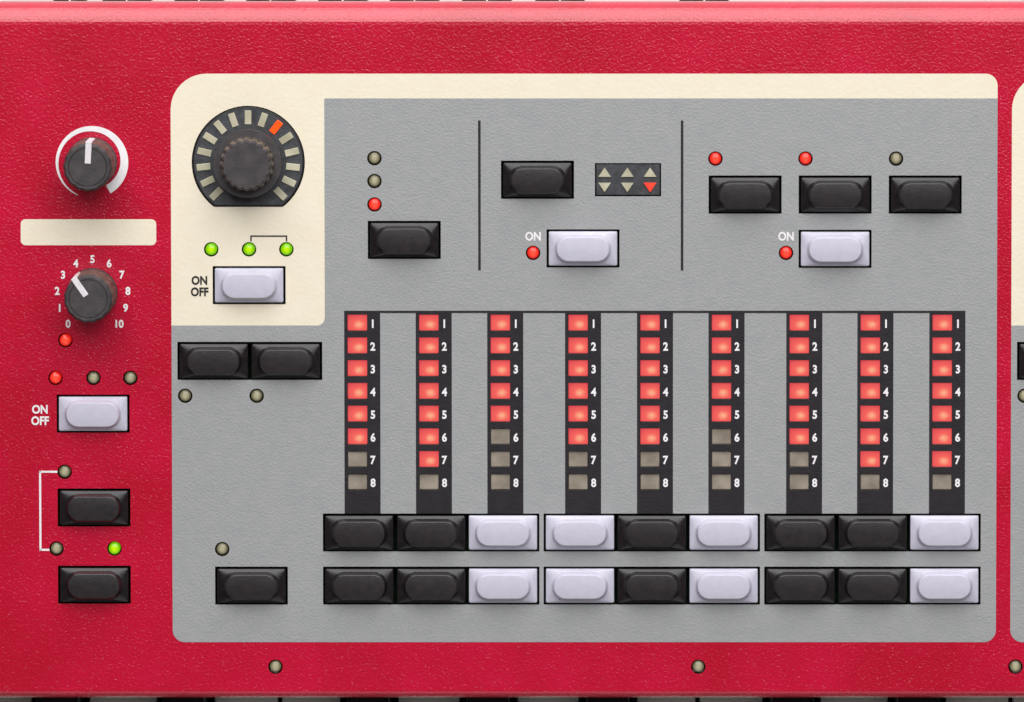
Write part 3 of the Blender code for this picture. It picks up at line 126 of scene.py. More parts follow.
def set_stops(ramp, *stops):
    """Sets a ramp's first and last stop: a share and a colour each."""
    for element, (share, code) in zip(ramp.color_ramp.elements, stops):
        element.position, element.color = share, linear(code)


def grained(name, dark, pale, grain, depth, roughness, **more):
    """A material with a fine grain: its tint wanders between two colours and its surface rises."""
    material, tree, shader, place = finish(name, roughness, **more)
    cloud = add(tree, "TexNoise", {"Vector": place, "Scale": 0.2 / grain, "Detail": 3.0})
    tint = add(tree, "ValToRGB", {"Fac": cloud.outputs["Fac"]})
    set_stops(tint, (0.3, dark), (0.7, pale))
    relief = add(tree, "TexNoise", {"Vector": place, "Scale": 1 / grain, "Detail": 2.0})
    bump = add(tree, "Bump", {"Height": relief.outputs["Fac"], "Distance": depth, "Strength": 1.0})
    feed(shader, {"Base Color": tint.outputs["Color"], "Normal": bump.outputs["Normal"]})
    return material


def powder_coat():
    """Polyester powder coat on sheet steel: a skin of half-millimetre orange peel, with pale
    specks painted in as glints, small painted highlights.
    """
    material, tree, shader, place = finish("crimson_powder_coat", 0.22, coat=0.8)
    cloud = add(tree, "TexNoise", {"Vector": place, "Scale": 60.0, "Detail": 4.0})
    tint = add(tree, "ValToRGB", {"Fac": cloud.outputs["Fac"]})
    set_stops(tint, (0.35, "be062c"), (0.7, "ce0a39"))
    # Pale specks scattered over the red: painted glints, small painted highlights
    painted_glint_cells = add(tree, "TexVoronoi", {"Vector": place, "Scale": 1150.0, "Randomness": 1.0})
    glint = add(tree, "MapRange", {"Value": painted_glint_cells.outputs["Distance"], "From Min": 0.24,
                                   "From Max": 0.10, "To Min": 0.0, "To Max": 0.6})
    few = add(tree, "TexNoise", {"Vector": place, "Scale": 700.0, "Detail": 1.0})
    chosen = add(tree, "MapRange", {"Value": few.outputs["Fac"], "From Min": 0.55,
                                    "From Max": 0.64})
    share = add(tree, "Math", {0: glint.outputs["Result"], 1: chosen.outputs["Result"]},
                operation="MULTIPLY")
    colour = add(tree, "Mix", {"Factor": share.outputs["Value"], 6: tint.outputs["Color"],
                               7: linear("d8607c")}, data_type="RGBA")
    peel = add(tree, "TexNoise", {"Vector": place, "Scale": 1900.0, "Detail": 1.5,
                                  "Roughness": 0.5, "Distortion": 0.3})
    bump = add(tree, "Bump", {"Height": peel.outputs["Fac"], "Distance": 0.00013, "Strength": 1.0})
    feed(shader, {"Base Color": colour.outputs[2], "Normal": bump.outputs["Normal"],
                  "Coat Roughness": 0.2})
    return material


def lit_window():
    """Moulded acrylic diffuser over a lit LED: the chip shows as a warm spot low in the window."""
    material, tree, shader, place = finish("lit_red_diffuser", 0.45)
    shape = add(tree, "TexCoord").outputs["UV"]
    off = add(tree, "VectorMath", {0: shape, 1: (0.58, 0.38, 0.0)}, operation="SUBTRACT")
    reach = add(tree, "VectorMath", {0: off.outputs["Vector"]}, operation="LENGTH")
    grain = add(tree, "TexNoise", {"Vector": place, "Scale": 1800.0, "Detail": 2.0})
    wander = add(tree, "MapRange", {"Value": grain.outputs["Fac"], "To Min": -0.07,
                                    "To Max": 0.07})
    spread = add(tree, "Math", {0: reach.outputs["Value"], 1: wander.outputs["Result"]})
    glow = add(tree, "ValToRGB", {"Fac": spread.outputs["Value"]})
    set_stops(glow, (0.04, "ffb68c"), (0.72, "e0464e"))
    glow.color_ramp.elements.new(0.30).color = linear("fa6259")
    feed(shader, {"Emission Color": glow.outputs["Color"], "Emission Strength": 0.85,
                  "Base Color": linear("5a1a1a")})
    return material


def lens_finish(name, base, glow, strength):
    """Cast epoxy over a chip: its UV map runs out from the chip, which shows brighter. On a lens
    with no light this glow is a painted highlight, fading to painted shade at its rim.
    """
    material, tree, shader, place = finish(name, 0.18, ior=1.52)
    cloud = add(tree, "TexNoise", {"Vector": place, "Scale": 1500.0, "Detail": 2.0})
    tint = add(tree, "ValToRGB", {"Fac": cloud.outputs["Fac"]})
    set_stops(tint, (0.0, base[0]), (1.0, base[1]))
    reach = add(tree, "VectorMath", {0: add(tree, "TexCoord").outputs["UV"]}, operation="LENGTH")
    spread = add(tree, "ValToRGB", {"Fac": reach.outputs["Value"]})
    set_stops(spread, (0.25, glow[0]), (0.90, glow[1]))
    feed(shader, {"Base Color": tint.outputs["Color"], "Emission Color": spread.outputs["Color"],
                  "Emission Strength": strength})
    return material


# Powder coat on the folded sheets, and lacquered wood at the ends
POWDER_COAT = powder_coat()
CHEEK_LACQUER = grained("crimson_lacquered_beech", "a8142c", "b81a34", 2.5 * MM, 0.05 * MM, 0.32)
# Screen-printed inks: matt, and rough from the paint under them
CREAM_INK = grained("cream_screen_ink", "f4e8d0", "f7ecd6", 0.9 * MM, 0.05 * MM, 0.5)
GREY_INK = grained("grey_screen_ink", "9fa0a1", "a5a5a6", 0.5 * MM, 0.10 * MM, 0.42)
BLACK_INK = grained("black_screen_ink", "151017", "211b23", 0.5 * MM, 0.05 * MM, 0.5)
WHITE_INK = grained("white_screen_ink", "f2ecee", "faf6f8", 0.5 * MM, 0.01 * MM, 0.5)
# Moulded caps: satin ABS all round, a spark-eroded pad on top
BLACK_ABS = grained("black_moulded_abs", "1b1719", "252022", 0.35 * MM, 0.01 * MM, 0.24)
BLACK_PAD = grained("spark_eroded_black_pad", "211c1e", "2e282a", 0.3 * MM, 0.04 * MM, 0.40)
WHITE_ABS = grained("lilac_white_moulded_abs", "c6c2d2", "cecada", 0.35 * MM, 0.01 * MM, 0.32)
WHITE_PAD = grained("spark_eroded_white_pad", "c9c5d5", "d0ccdc", 0.3 * MM, 0.02 * MM, 0.40)
BLACK_PLASTIC, WHITE_PLASTIC = (BLACK_ABS, BLACK_PAD), (WHITE_ABS, WHITE_PAD)
# Soft-touch coating of the knobs, with brown grip sides on the small knobs and tan grip sides on
# the level knobs
KNOB_RUBBER = grained("charcoal_soft_touch", "383435", "4a4446", 0.5 * MM, 0.05 * MM, 0.58)
KNOB_SIDE = grained("brown_soft_touch_side", "4b312c", "7a5850", 0.4 * MM, 0.04 * MM, 0.55)
KNOB_TAN_SIDE = grained("tan_knob_grip_side", "4a4138", "877863", 0.6 * MM, 0.04 * MM, 0.5)
POINTER_PAINT = grained("white_pointer_paint", "dcd2d8", "efe8ec", 0.4 * MM, 0.02 * MM, 0.5)
# Black plastics round the lamps: textured window, its plain edge, light shroud
BEZEL_ABS = grained("spark_eroded_black_abs", "2e2f33", "4a4b50", 0.35 * MM, 0.08 * MM, 0.55)
BEZEL_EDGE = grained("black_bezel_edge", "120f10", "1c1819", 0.4 * MM, 0.02 * MM, 0.5)
# The same black also paints the cut walls of the deck's openings: painted shade in the gaps
BLACK_SHROUD_AND_GAP_SHADE = grained("matt_black_shroud_and_painted_gap_shade", "0c0a0b", "151213", 0.5 * MM, 0.03 * MM, 0.8)
# Milky diffusers without light, and the lit ones
SEGMENT_DARK = grained("unlit_khaki_diffuser", "a8a288", "cfcab0", 1.2 * MM, 0.02 * MM, 0.4)
WINDOW_DARK = grained("unlit_grey_brown_diffuser", "85796d", "a59a8c", 0.8 * MM, 0.03 * MM, 0.4)
WINDOW_LIT = lit_window()
SEGMENT_LIT = lens_finish("lit_orange_diffuser", ("d04010", "e86020"), ("ff8a20", "ff3c10"), 0.9)
TRIANGLE_LIT = lens_finish("lit_red_diffuser_triangle", ("c02010", "d03020"),
                           ("ff5040", "ff2c20"), 0.85)
# Epoxy lenses of the round lamps
# The unlit lens glows anyway: a painted highlight in its middle, painted shade at its rim
LENS_UNLIT_PAINTED_HIGHLIGHT = lens_finish("unlit_khaki_epoxy_painted_highlight", ("58523c", "6e684e"), ("ccc6a6", "2c2818"), 0.55)
LENS_RED = lens_finish("lit_red_epoxy", ("a01810", "c02418"), ("ff5a44", "c81410"), 0.85)
LENS_GREEN = lens_finish("lit_green_epoxy", ("4a7a00", "5f9000"), ("c8f000", "5fae00"), 0.85)
# Keys: polished and satin ABS
KEY_WHITE = grained("ivory_white_polished_abs", "ece8dc", "f4f1e7", 6 * MM, 0.01 * MM, 0.22)
KEY_BLACK = grained("satin_black_key_abs", "141315", "1c1b1d", 0.8 * MM, 0.02 * MM, 0.34)
# Metal: chassis and tabs, socket nuts and pins
ZINC = grained("zinc_plated_steel", "9a9c9e", "b4b6b8", 1.5 * MM, 0.01 * MM, 0.35, metallic=1.0)
NICKEL = grained("nickel_plated_brass", "b9b4aa", "cfcac0", 1.2 * MM, 0.005 * MM, 0.22,
                 metallic=1.0)
# Rubber feet, circuit boards, and the display's glass with its dark crystal
FOOT_RUBBER = grained("black_foot_rubber", "141415", "202021", 0.6 * MM, 0.06 * MM, 0.85)
SOLDER_MASK = grained("green_solder_mask", "1f4a30", "2d5f3e", 1.5 * MM, 0.02 * MM, 0.35)
SMOKED_GLASS = grained("smoked_display_glass", "0e0f12", "15161a", 4 * MM, 0.002 * MM, 0.08)
LCD_GREEN = grained("unlit_liquid_crystal", "39443a", "414d41", 0.6 * MM, 0.005 * MM, 0.25)


# Modelling by hand

def deselect():
    bpy.ops.object.select_all(action="DESELECT")


def choose(piece):
    """Makes one piece the only one selected, and the active one."""
    deselect()
    piece.select_set(True)
    bpy.context.view_layer.objects.active = piece


def enter(piece):
    """Edit mode with all of one piece selected."""
    choose(piece)
    bpy.ops.object.mode_set(mode="EDIT")
    bpy.ops.mesh.select_all(action="SELECT")


def leave():
    bpy.ops.object.mode_set(mode="OBJECT")


def pick(piece, test, kind="faces"):
    """Selects in edit mode the faces, edges or verts that pass a test."""
    bpy.ops.mesh.select_all(action="DESELECT")
    bpy.ops.mesh.select_mode(type={"faces": "FACE", "edges": "EDGE", "verts": "VERT"}[kind])
    shape = bmesh.from_edit_mesh(piece.data)
    for item in getattr(shape, kind):
        item.select = test(item)
    shape.select_flush_mode()
    bmesh.update_edit_mesh(piece.data)


def pull(x=0.0, y=0.0, z=0.0):
    bpy.ops.mesh.extrude_region_move(TRANSFORM_OT_translate={"value": (x, y, z)})


def stretch(x, y, z, centre=(0, 0, 0)):
    bpy.ops.transform.resize(value=(x, y, z), center_override=centre)


def outwards():
    """Welds what meets and turns all normals out."""
    bpy.ops.mesh.select_all(action="SELECT")
    bpy.ops.mesh.remove_doubles(threshold=1e-7)
    bpy.ops.mesh.normals_make_consistent(inside=False)


def fix_place(piece):
    """Puts a piece's place into its mesh."""
    choose(piece)
    bpy.ops.object.transform_apply(location=True, rotation=True, scale=True)


def settle(piece, place=PANEL):
    """Moves a piece modelled at the origin to its place, and puts that place into its mesh."""
    piece.matrix_world = place @ piece.matrix_world
    fix_place(piece)
    return piece


def modify(piece, kind, **settings):
    """Adds a modifier and applies it."""
    change = piece.modifiers.new(kind.title(), kind)
    for name, value in settings.items():
        setattr(change, name, value)
    choose(piece)
    bpy.ops.object.modifier_apply(modifier=change.name)
    return piece


def ease(piece, width, segments=2, angle=50):
    """Rounds the edges that turn by more than an angle."""
    modify(piece, "BEVEL", width=width, segments=segments, limit_method="ANGLE",
           angle_limit=math.radians(angle))


def cut(piece, tool):
    return modify(piece, "BOOLEAN", operation="DIFFERENCE", solver="EXACT", object=tool)


def cut_once(piece, tool):
    """Cuts with a tool that nothing else needs."""
    cut(piece, tool)
    bpy.data.objects.remove(tool)


def smooth(piece, angle=30.0):
    choose(piece)
    bpy.ops.object.shade_smooth_by_angle(angle=math.radians(angle))


def paint(piece, *finishes):
    """Gives a piece its finishes, the first one all over."""
    for material in finishes:
        piece.data.materials.append(material)
    return piece


def second_finish(piece, test):
    """The faces that pass a test take the piece's second finish."""
    for face in piece.data.polygons:
        if test(face):
            face.material_index = 1


def joined(name, pieces):
    """Several pieces made one."""
    deselect()
    for piece in pieces:
        piece.select_set(True)
    bpy.context.view_layer.objects.active = pieces[0]
    bpy.ops.object.join()
    pieces[0].name = name
    return pieces[0]


def another(pattern, name, place):
    """A copy of a finished pattern with its own mesh, at a place."""
    piece = pattern.copy()
    piece.data = pattern.data.copy()
    piece.data.transform(place)
    piece.name = name
    bpy.context.scene.collection.objects.link(piece)
    return piece


def fit(piece, body, nodes=()):
    """Hangs a finished piece on its body, in place of its CAD nodes."""
    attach(piece, body)
    if nodes:
        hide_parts(*nodes)


def mount(piece, slot, *nodes):
    """Hangs a piece that never moves."""
    fit(piece, "casing", nodes)


def from_datum(u, v):
    return DATUM_X + u, v


def at(u, v, lift=0.0, turn=0.0):
    """A place on the panel, off its surface."""
    return PANEL @ Matrix.Translation((DATUM_X + u, v, lift)) @ Matrix.Rotation(turn, 4, "Z")


def blank(name, place=(0, 0, 0)):
    """An empty piece, in edit mode."""
    deselect()
    bpy.ops.mesh.primitive_plane_add(size=1.0, location=place)
    piece = bpy.context.object
    piece.name = name
    enter(piece)
    bpy.ops.mesh.delete(type="VERT")
    return piece


def sheet(name, low, high, lift=0.0):
    """A flat rectangle between two corners, in edit mode."""
    deselect()
    bpy.ops.mesh.primitive_plane_add(size=1.0, location=((low[0] + high[0]) / 2,
                                                         (low[1] + high[1]) / 2, lift))
    piece = bpy.context.object
    piece.name = name
    piece.scale = (high[0] - low[0], high[1] - low[1], 1)
    fix_place(piece)
    enter(piece)
    return piece


def flat_plate(name, low, high, thickness, radii, lift=0.0):
    """A rectangle raised to a thickness, with a radius at each corner: front pair, rear pair."""
    piece = sheet(name, low, high, lift)
    corners = [(x, y) for y in (low[1], high[1]) for x in (low[0], high[0])]
    for (x, y), radius in zip(corners, radii):
        if radius:
            pick(piece, lambda v: math.hypot(v.co.x - x, v.co.y - y) < NEAR, "verts")
            bpy.ops.mesh.bevel(affect="VERTICES", offset=radius, segments=10)
    bpy.ops.mesh.select_all(action="SELECT")
    pull(z=thickness)
    outwards()
    leave()
    return piece


def rod(sides, radius, depth, place=(0, 0, 0), turn=(0, 0, 0)):
    """A cylinder, its place put into its mesh."""
    deselect()
    bpy.ops.mesh.primitive_cylinder_add(vertices=sides, radius=radius, depth=depth,
                                        location=place, rotation=turn)
    piece = bpy.context.object
    fix_place(piece)
    return piece


def bar(name, size, place=(0, 0, 0), rounding=0.0):
    """A small block with its edges eased."""
    deselect()
    bpy.ops.mesh.primitive_cube_add(size=1.0, location=place)
    piece = bpy.context.object
    piece.name = name
    piece.scale = size
    fix_place(piece)
    if rounding:
        modify(piece, "BEVEL", width=rounding, segments=2)
    return piece


# The folded red panel and its prints

DOWN = Vector((0, -math.sin(PANEL_SLOPE), -math.cos(PANEL_SLOPE)))
CUT_DEPTH = 0.020
FIXED_COLUMNS = (0.1867, 0.4897)   # steps at which the first section's left side comes again
OCTAVE_MIDDLE = (0.0557, 0.0757)
OPENINGS_ORIGIN = (DATUM_X + 0.9, 0.3, 0)   # where the mesh of all openings is put together
INDICATOR_HOLE = (0.0147, 0.0074)
DISPLAY_HOLE = (0.0660, 0.0280)
FIXED_CAPS = (((0.3100, 0.1027), 2), ((0.3100, 0.0254), 3), ((0.4230, 0.0254), 4),
              ((0.6250, 0.0254), 4), ((0.7700, 0.0254), 3))
FIXED_KNOBS = ((0.5900, 0.1150), (0.6250, 0.1150), (0.6600, 0.1150), (0.6250, 0.0700),
               (0.7400, 0.1150), (0.7700, 0.1150), (0.8000, 0.1150), (0.7700, 0.0700),
               (0.4230, 0.0700))
BUTTONS = {
    "source_button": (0.0208, 0.0639), "stop_mode_button": (0.0209, 0.0429),
    "slow_fast_button": (0.0209, 0.0256), "zone_button": (0.0556, 0.0926),
    "octave_down_button": (0.0477, 0.0757), "octave_up_button": (0.0637, 0.0757),
    "preset_button": (0.0559, 0.0254), "organ_model_button": (0.0901, 0.1027),
    "vibrato_type_button": (0.1197, 0.1161), "vibrato_on_button": (0.1298, 0.1008),
    "percussion_volume_button": (0.1658, 0.1128), "percussion_decay_button": (0.1858, 0.1128),
    "percussion_harmonic_button": (0.2058, 0.1128), "percussion_on_button": (0.1858, 0.1007)}
WHITE_BUTTONS = ("source_button", "zone_button", "vibrato_on_button", "percussion_on_button")
WHEELS = {"pitch_wheel": (-0.0850, 0.1120), "mod_wheel": (-0.0450, 0.1120)}
WHEEL_SLOT = (0.0130, 0.0480)
# Between these the cut walls of the openings are painted black: painted shade in the gaps
SHADED_EDGES = (0.004, 0.148)  # of the deck, between which cut edges are dark
SHAFT_HOLE = 0.0045
BEZEL_RADIUS = 0.01236
BEZEL_FLAT = 0.00975
BEZEL_CLEARANCE = 0.0002
NATURAL_PITCH = 0.023571
SPLIT_KEYS = (8, 12, 15, 19, 22, 26, 29)
SPLIT_ROW = 0.0072
UNLIT, RED, GREEN = "unlit", "red", "green"
LAMPS = [(0.0147, 0.0803, RED), (0.01245, 0.0719, RED), (0.0209, 0.0719, UNLIT),
         (0.0291, 0.0719, UNLIT), (0.0144, 0.0509, UNLIT), (0.0125, 0.0337, UNLIT),
         (0.0254, 0.0337, GREEN), (0.0472, 0.1006, GREEN), (0.0556, 0.1006, GREEN),
         (0.0639, 0.1006, GREEN), (0.0413, 0.0679, UNLIT), (0.0572, 0.0679, UNLIT),
         (0.0494, 0.0336, UNLIT), (0.0835, 0.1209, UNLIT), (0.0835, 0.1158, UNLIT),
         (0.0835, 0.1106, RED), (0.1187, 0.0998, RED), (0.1592, 0.1208, RED),
         (0.1792, 0.1208, RED), (0.1993, 0.1208, UNLIT), (0.1749, 0.0998, RED),
         (0.2280, 0.0679, UNLIT), (0.2439, 0.0679, UNLIT)]
LAMPS += [(natural * NATURAL_PITCH - PANEL_HALF - DATUM_X, SPLIT_ROW, UNLIT)
          for natural in SPLIT_KEYS]


def drawbar_buttons():
    """Each drawbar button's name, place and whether it is white."""
    made = []
    for kind, row in DRAWBAR_ROWS.items():
        for number in range(1, 10):
            group, within = divmod(number - 1, 3)
            u = DRAWBAR_GROUPS[group] + (within - 1) * CAP_PITCH
            made.append((f"drawbar_{number}_{kind}_button", (u, row), number in WHITE_DRAWBARS))
    return made


def fixed_rows():
    """Middle and length of each row of caps that stays still."""
    repeated = ((BUTTONS["zone_button"], 1), (BUTTONS["preset_button"], 1), (OCTAVE_MIDDLE, 2))
    return list(FIXED_CAPS) + [((u + shift, v), count)
                               for shift in FIXED_COLUMNS for (u, v), count in repeated]


def fixed_levels():
    return [(LEVEL_KNOB[0] + shift, LEVEL_KNOB[1]) for shift in FIXED_COLUMNS]


def window_middles():
    return [((column + WINDOW_SHIFT, WINDOW_TOP - row * WINDOW_PITCH), row < lit)
            for column, lit in zip(COLUMN_MIDDLES, COLUMN_LIT) for row in range(WINDOW_ROWS)]


def opening_blocks():
    """Every square opening of the deck: its middle and its size."""
    cap = [size + 2 * margin for size, margin in zip(CAP_SIZE, CAP_MARGIN)]
    row = CAP_PITCH
    blocks = [(place, cap) for name, place in BUTTONS.items() if "octave" not in name]
    blocks.append((OCTAVE_MIDDLE, (cap[0] + row, cap[1])))
    blocks += [((group, place), (cap[0] + 2 * row, cap[1]))
               for group in DRAWBAR_GROUPS for place in DRAWBAR_ROWS.values()]
    blocks += [(place, (cap[0] + (count - 1) * row, cap[1])) for place, count in fixed_rows()]
    blocks += [(place, WINDOW_SIZE) for place, _ in window_middles()]
    blocks += [(INDICATOR, INDICATOR_HOLE), (DISPLAY, DISPLAY_HOLE)]
    blocks += [(place, WHEEL_SLOT) for place in WHEELS.values()]
    return blocks


def block_tool(x, y, z, size):
    bpy.ops.mesh.primitive_cube_add(size=1.0, location=(x, y, z), scale=size)


def round_tool(sides, radius, place, turn=(0, 0, 0)):
    bpy.ops.mesh.primitive_cylinder_add(vertices=sides, radius=radius, depth=CUT_DEPTH,
                                        location=place, rotation=turn)


def deck_openings():
    """One mesh of everything that is cut through the deck and its prints."""
    tool = blank("deck_openings", OPENINGS_ORIGIN)
    for (u, v), size in opening_blocks():
        block_tool(*from_datum(u, v), 0, (*size, CUT_DEPTH))
    for u, v, _ in LAMPS:
        round_tool(28, LED_HOLE, (*from_datum(u, v), 0))
    for u, v in (MASTER_KNOB, DRIVE_KNOB, *FIXED_KNOBS, *fixed_levels()):
        round_tool(24, SHAFT_HOLE, (*from_datum(u, v), 0))
    bpy.ops.mesh.select_all(action="DESELECT")
    round_tool(72, BEZEL_RADIUS + BEZEL_CLEARANCE, (*from_datum(*LEVEL_KNOB), 0))
    bpy.ops.mesh.bisect(plane_co=(0, LEVEL_KNOB[1] - BEZEL_FLAT - BEZEL_CLEARANCE, 0),
                        plane_no=(0, -1, 0), use_fill=True, clear_outer=True)
    leave()
    fix_place(tool)
    return tool


def punch_rear_wall(panel):
    """Opens the rear wall where a socket, the inlet or the rocker comes through."""
    tool = blank("rear_openings")
    for u, bushing in [(u, JACK_BUSHING) for u in JACKS] + [(MINI_JACK, MINI_BUSHING)]:
        round_tool(32, bushing + WALL_CLEARANCE, (DATUM_X + u, REAR_WALL_Y, SOCKET_HEIGHT),
                   REARWARD)
    for u, body in ((USB_SOCKET, USB_BODY), (INLET, INLET_BODY), (ROCKER, ROCKER_BODY)):
        block_tool(DATUM_X + u, REAR_WALL_Y, SOCKET_HEIGHT,
                   (body[0] + 2 * WALL_CLEARANCE, CUT_DEPTH, body[1] + 2 * WALL_CLEARANCE))
    leave()
    cut_once(panel, tool)
    return panel


def edge_at(y):
    return lambda edge: all(abs(v.co.y - y) < NEAR for v in edge.verts)


def fold(steps, angle, y, z, way):
    """Bends the picked edge on round a line along the keyboard."""
    bpy.ops.mesh.spin(steps=steps, angle=angle, center=(0, y, z), axis=(way, 0, 0))


def red_panel(cutters):
    """Sheet steel, bent on a brake: front lip, deck, rear bend and rear wall, then punched."""
    square = math.pi / 2
    rear_run = REAR_BEND * math.tan((square + PANEL_SLOPE) / 2)
    front, rear = LIP_BEND, PANEL_DEPTH - rear_run
    panel = sheet("folded_panel", (-PANEL_HALF, front), (PANEL_HALF, rear))
    pick(panel, edge_at(rear), "edges")
    fold(12, square + PANEL_SLOPE, rear, -REAR_BEND, 1)
    wall = PANEL_FRONT_HEIGHT + PANEL_DEPTH * math.sin(PANEL_SLOPE) - rear_run - FOOT_HEIGHT
    pull(*(DOWN * wall))
    pick(panel, edge_at(front), "edges")
    fold(8, square, front, -LIP_BEND, -1)
    pull(z=LIP_BEND - LIP_HEIGHT)
    outwards()
    leave()
    modify(panel, "SOLIDIFY", thickness=SHEET, offset=-1.0, use_even_offset=True)
    cut(panel, cutters)
    paint(panel, POWDER_COAT, BLACK_SHROUD_AND_GAP_SHADE)
    # The walls of the deck's openings take the black: painted shade in the gaps round caps, lamps
    # and windows
    low, high, half = *SHADED_EDGES, PANEL_HALF - 0.003
    second_finish(panel, lambda face: low < face.center.y < high and abs(face.center.x) < half
                  and face.center.z > -SHEET and abs(face.normal.z) < 0.5)
    return punch_rear_wall(settle(panel))


FIELD_ROWS = (0.0127, 0.1397, 0.1342)   # front and rear edge, and where the cream band starts
FIELD_CORNER = 0.0027
WIDE_CORNER = 0.008
COLUMN_FOOT = 0.0836
COLUMN_CORNER = 0.0018
COLUMN_WIDTH, COLUMN_ROWS = 0.008, (0.0414, 0.0868)   # of a drawbar's black print
SQUARE = (0, 0, 0, 0)
BLACK_LINES = (((0.0767, 0.0864), (0.2148, 0.0869)),
               ((0.10653, 0.0959), (0.10708, 0.1293)), ((0.15153, 0.0959), (0.15208, 0.1293)),
               ((0.0559, 0.1034), (0.0641, 0.1037)), ((0.0559, 0.1024), (0.0562, 0.1035)),
               ((0.0638, 0.1024), (0.0641, 0.1035)))
WHITE_LINES = (((0.0087, 0.0332), (0.00915, 0.0511)), ((0.0087, 0.05068), (0.0128, 0.05113)),
               ((0.0087, 0.0332), (0.0110, 0.03365)))


def ink_patch(name, low, high, ink, layer, radii, cutters):
    """A printed area: one thin skin of ink, open where the panel is."""
    patch = flat_plate(name, from_datum(*low), from_datum(*high), PRINT_STEP, radii,
                       lift=PRINT_LIFT * layer)
    return cut(paint(patch, ink), cutters)


def strokes(rows, ink, layer, cutters):
    """Straight printed lines, each between two corners."""
    return [ink_patch("stroke", low, high, ink, layer, SQUARE, cutters) for low, high in rows]


def section_plate(name, left, right, column, cutters):
    """A section's field: cream band and cream left column with a grey field let into them."""
    low, high, band = FIELD_ROWS
    soft = FIELD_CORNER
    cream = ink_patch(f"{name}_cream_field", (left, low), (right, high), CREAM_INK, 0,
                      (soft, soft, WIDE_CORNER, soft), cutters)
    grey = flat_plate("grey", from_datum(left, low), from_datum(right, band), PRINT_STEP,
                      (soft, soft, 0, 0), lift=PRINT_LIFT)
    if column:
        keep = flat_plate("cream_column", from_datum(left - CUT_DEPTH, COLUMN_FOOT),
                          from_datum(left + column, PANEL_DEPTH), CUT_DEPTH,
                          (0, COLUMN_CORNER, 0, 0), lift=-CUT_DEPTH / 2)
        cut_once(grey, keep)
    grey.name = f"{name}_grey_field"
    return cream, cut(paint(grey, GREY_INK), cutters)


def black_prints(cutters):
    """The drawbar columns with the line that joins them, the separators and a small bracket."""
    half, (low, high) = COLUMN_WIDTH / 2, COLUMN_ROWS
    made = [ink_patch("column", (middle - half, low), (middle + half, high), BLACK_INK, 2,
                      SQUARE, cutters) for middle in COLUMN_MIDDLES]
    return joined("black_prints", made + strokes(BLACK_LINES, BLACK_INK, 3, cutters))


def level_swell():
    """The white ring round the master knob, widening from its quiet end to its loud end."""
    radius, start, sweep, steps = 0.00806, math.radians(246.5), math.radians(306), 77
    thin, thick = 0.0002, 0.0021
    ring = blank("level_swell")
    leave()
    ring.data.vertices.add(2)
    ring.data.edges.add(1)
    ring.data.edges[0].vertices = (0, 1)
    for vertex, reach in zip(ring.data.vertices, (radius, radius - thin)):
        vertex.co = (reach * math.cos(start), reach * math.sin(start), 0)
    enter(ring)
    bpy.ops.mesh.spin(steps=steps, angle=sweep, center=(0, 0, 0), axis=(0, 0, 1))
    leave()
    for vertex in ring.data.vertices:
        if vertex.co.length < radius - thin / 2:
            turned = (start - math.atan2(vertex.co.y, vertex.co.x)) % (2 * math.pi)
            share = min(turned / sweep, 1.0) if turned < 6.27 else 0.0
            vertex.co *= (radius - thin - (thick - thin) * share) / vertex.co.length
    enter(ring)
    pull(z=PRINT_STEP)
    outwards()
    leave()
    ring.data.transform(Matrix.Translation((*from_datum(*MASTER_KNOB), PRINT_LIFT)))
    return paint(ring, WHITE_INK)


# The drive knob's figures: where they start, their step, their circle, the outer two further out
SCALE_START, SCALE_STEP = -140, 28
SCALE_RADIUS, SCALE_END_OUT, SCALE_TEN_ASIDE = 0.0079, 0.0006, 0.0005
SCALE_DROP = 0.0004
SCALE_FIGURE = {"height": 0.00174, "weight": 0.035, "breadth": 0.90}
STEP_FIGURE = {"height": 0.00183, "weight": 0.035, "breadth": 0.88}
STEP_ASIDE, STEP_DROP = 0.00235, 0.0002   # of a drawbar's figures from column and window
SWITCH_WORDS = {"height": 0.0019, "weight": 0.034, "lines": 0.98, "breadth": 0.86}
WHITE_WORDS = (("ON\nOFF", (0.0090, 0.0636)), ("ON", (0.1187, 0.1035)), ("ON", (0.1749, 0.1035)))
CAPITAL_SHARE = 0.73          # of the type size that a capital or a digit stands high


def letters(text, place, ink, height, weight, breadth, lines=1.0):
    """Printed figures or words on the third layer of ink, centred on a place."""
    deselect()
    bpy.ops.object.text_add()
    words = bpy.context.object
    words.data.body = text
    words.data.size = height / CAPITAL_SHARE
    words.data.offset = weight * height / CAPITAL_SHARE
    words.data.extrude = PRINT_STEP / 2
    words.data.align_x = "CENTER"
    words.data.space_line = lines
    words.scale.x = breadth
    words.data.resolution_u = 4
    bpy.ops.object.convert(target="MESH")
    words = bpy.context.object
    fix_place(words)
    u, v = from_datum(*place)
    xs = [vertex.co.x for vertex in words.data.vertices]
    ys = [vertex.co.y for vertex in words.data.vertices]
    words.data.transform(Matrix.Translation((u - (min(xs) + max(xs)) / 2,
                                             v - (min(ys) + max(ys)) / 2, PRINT_LIFT * 3)))
    return paint(words, ink)


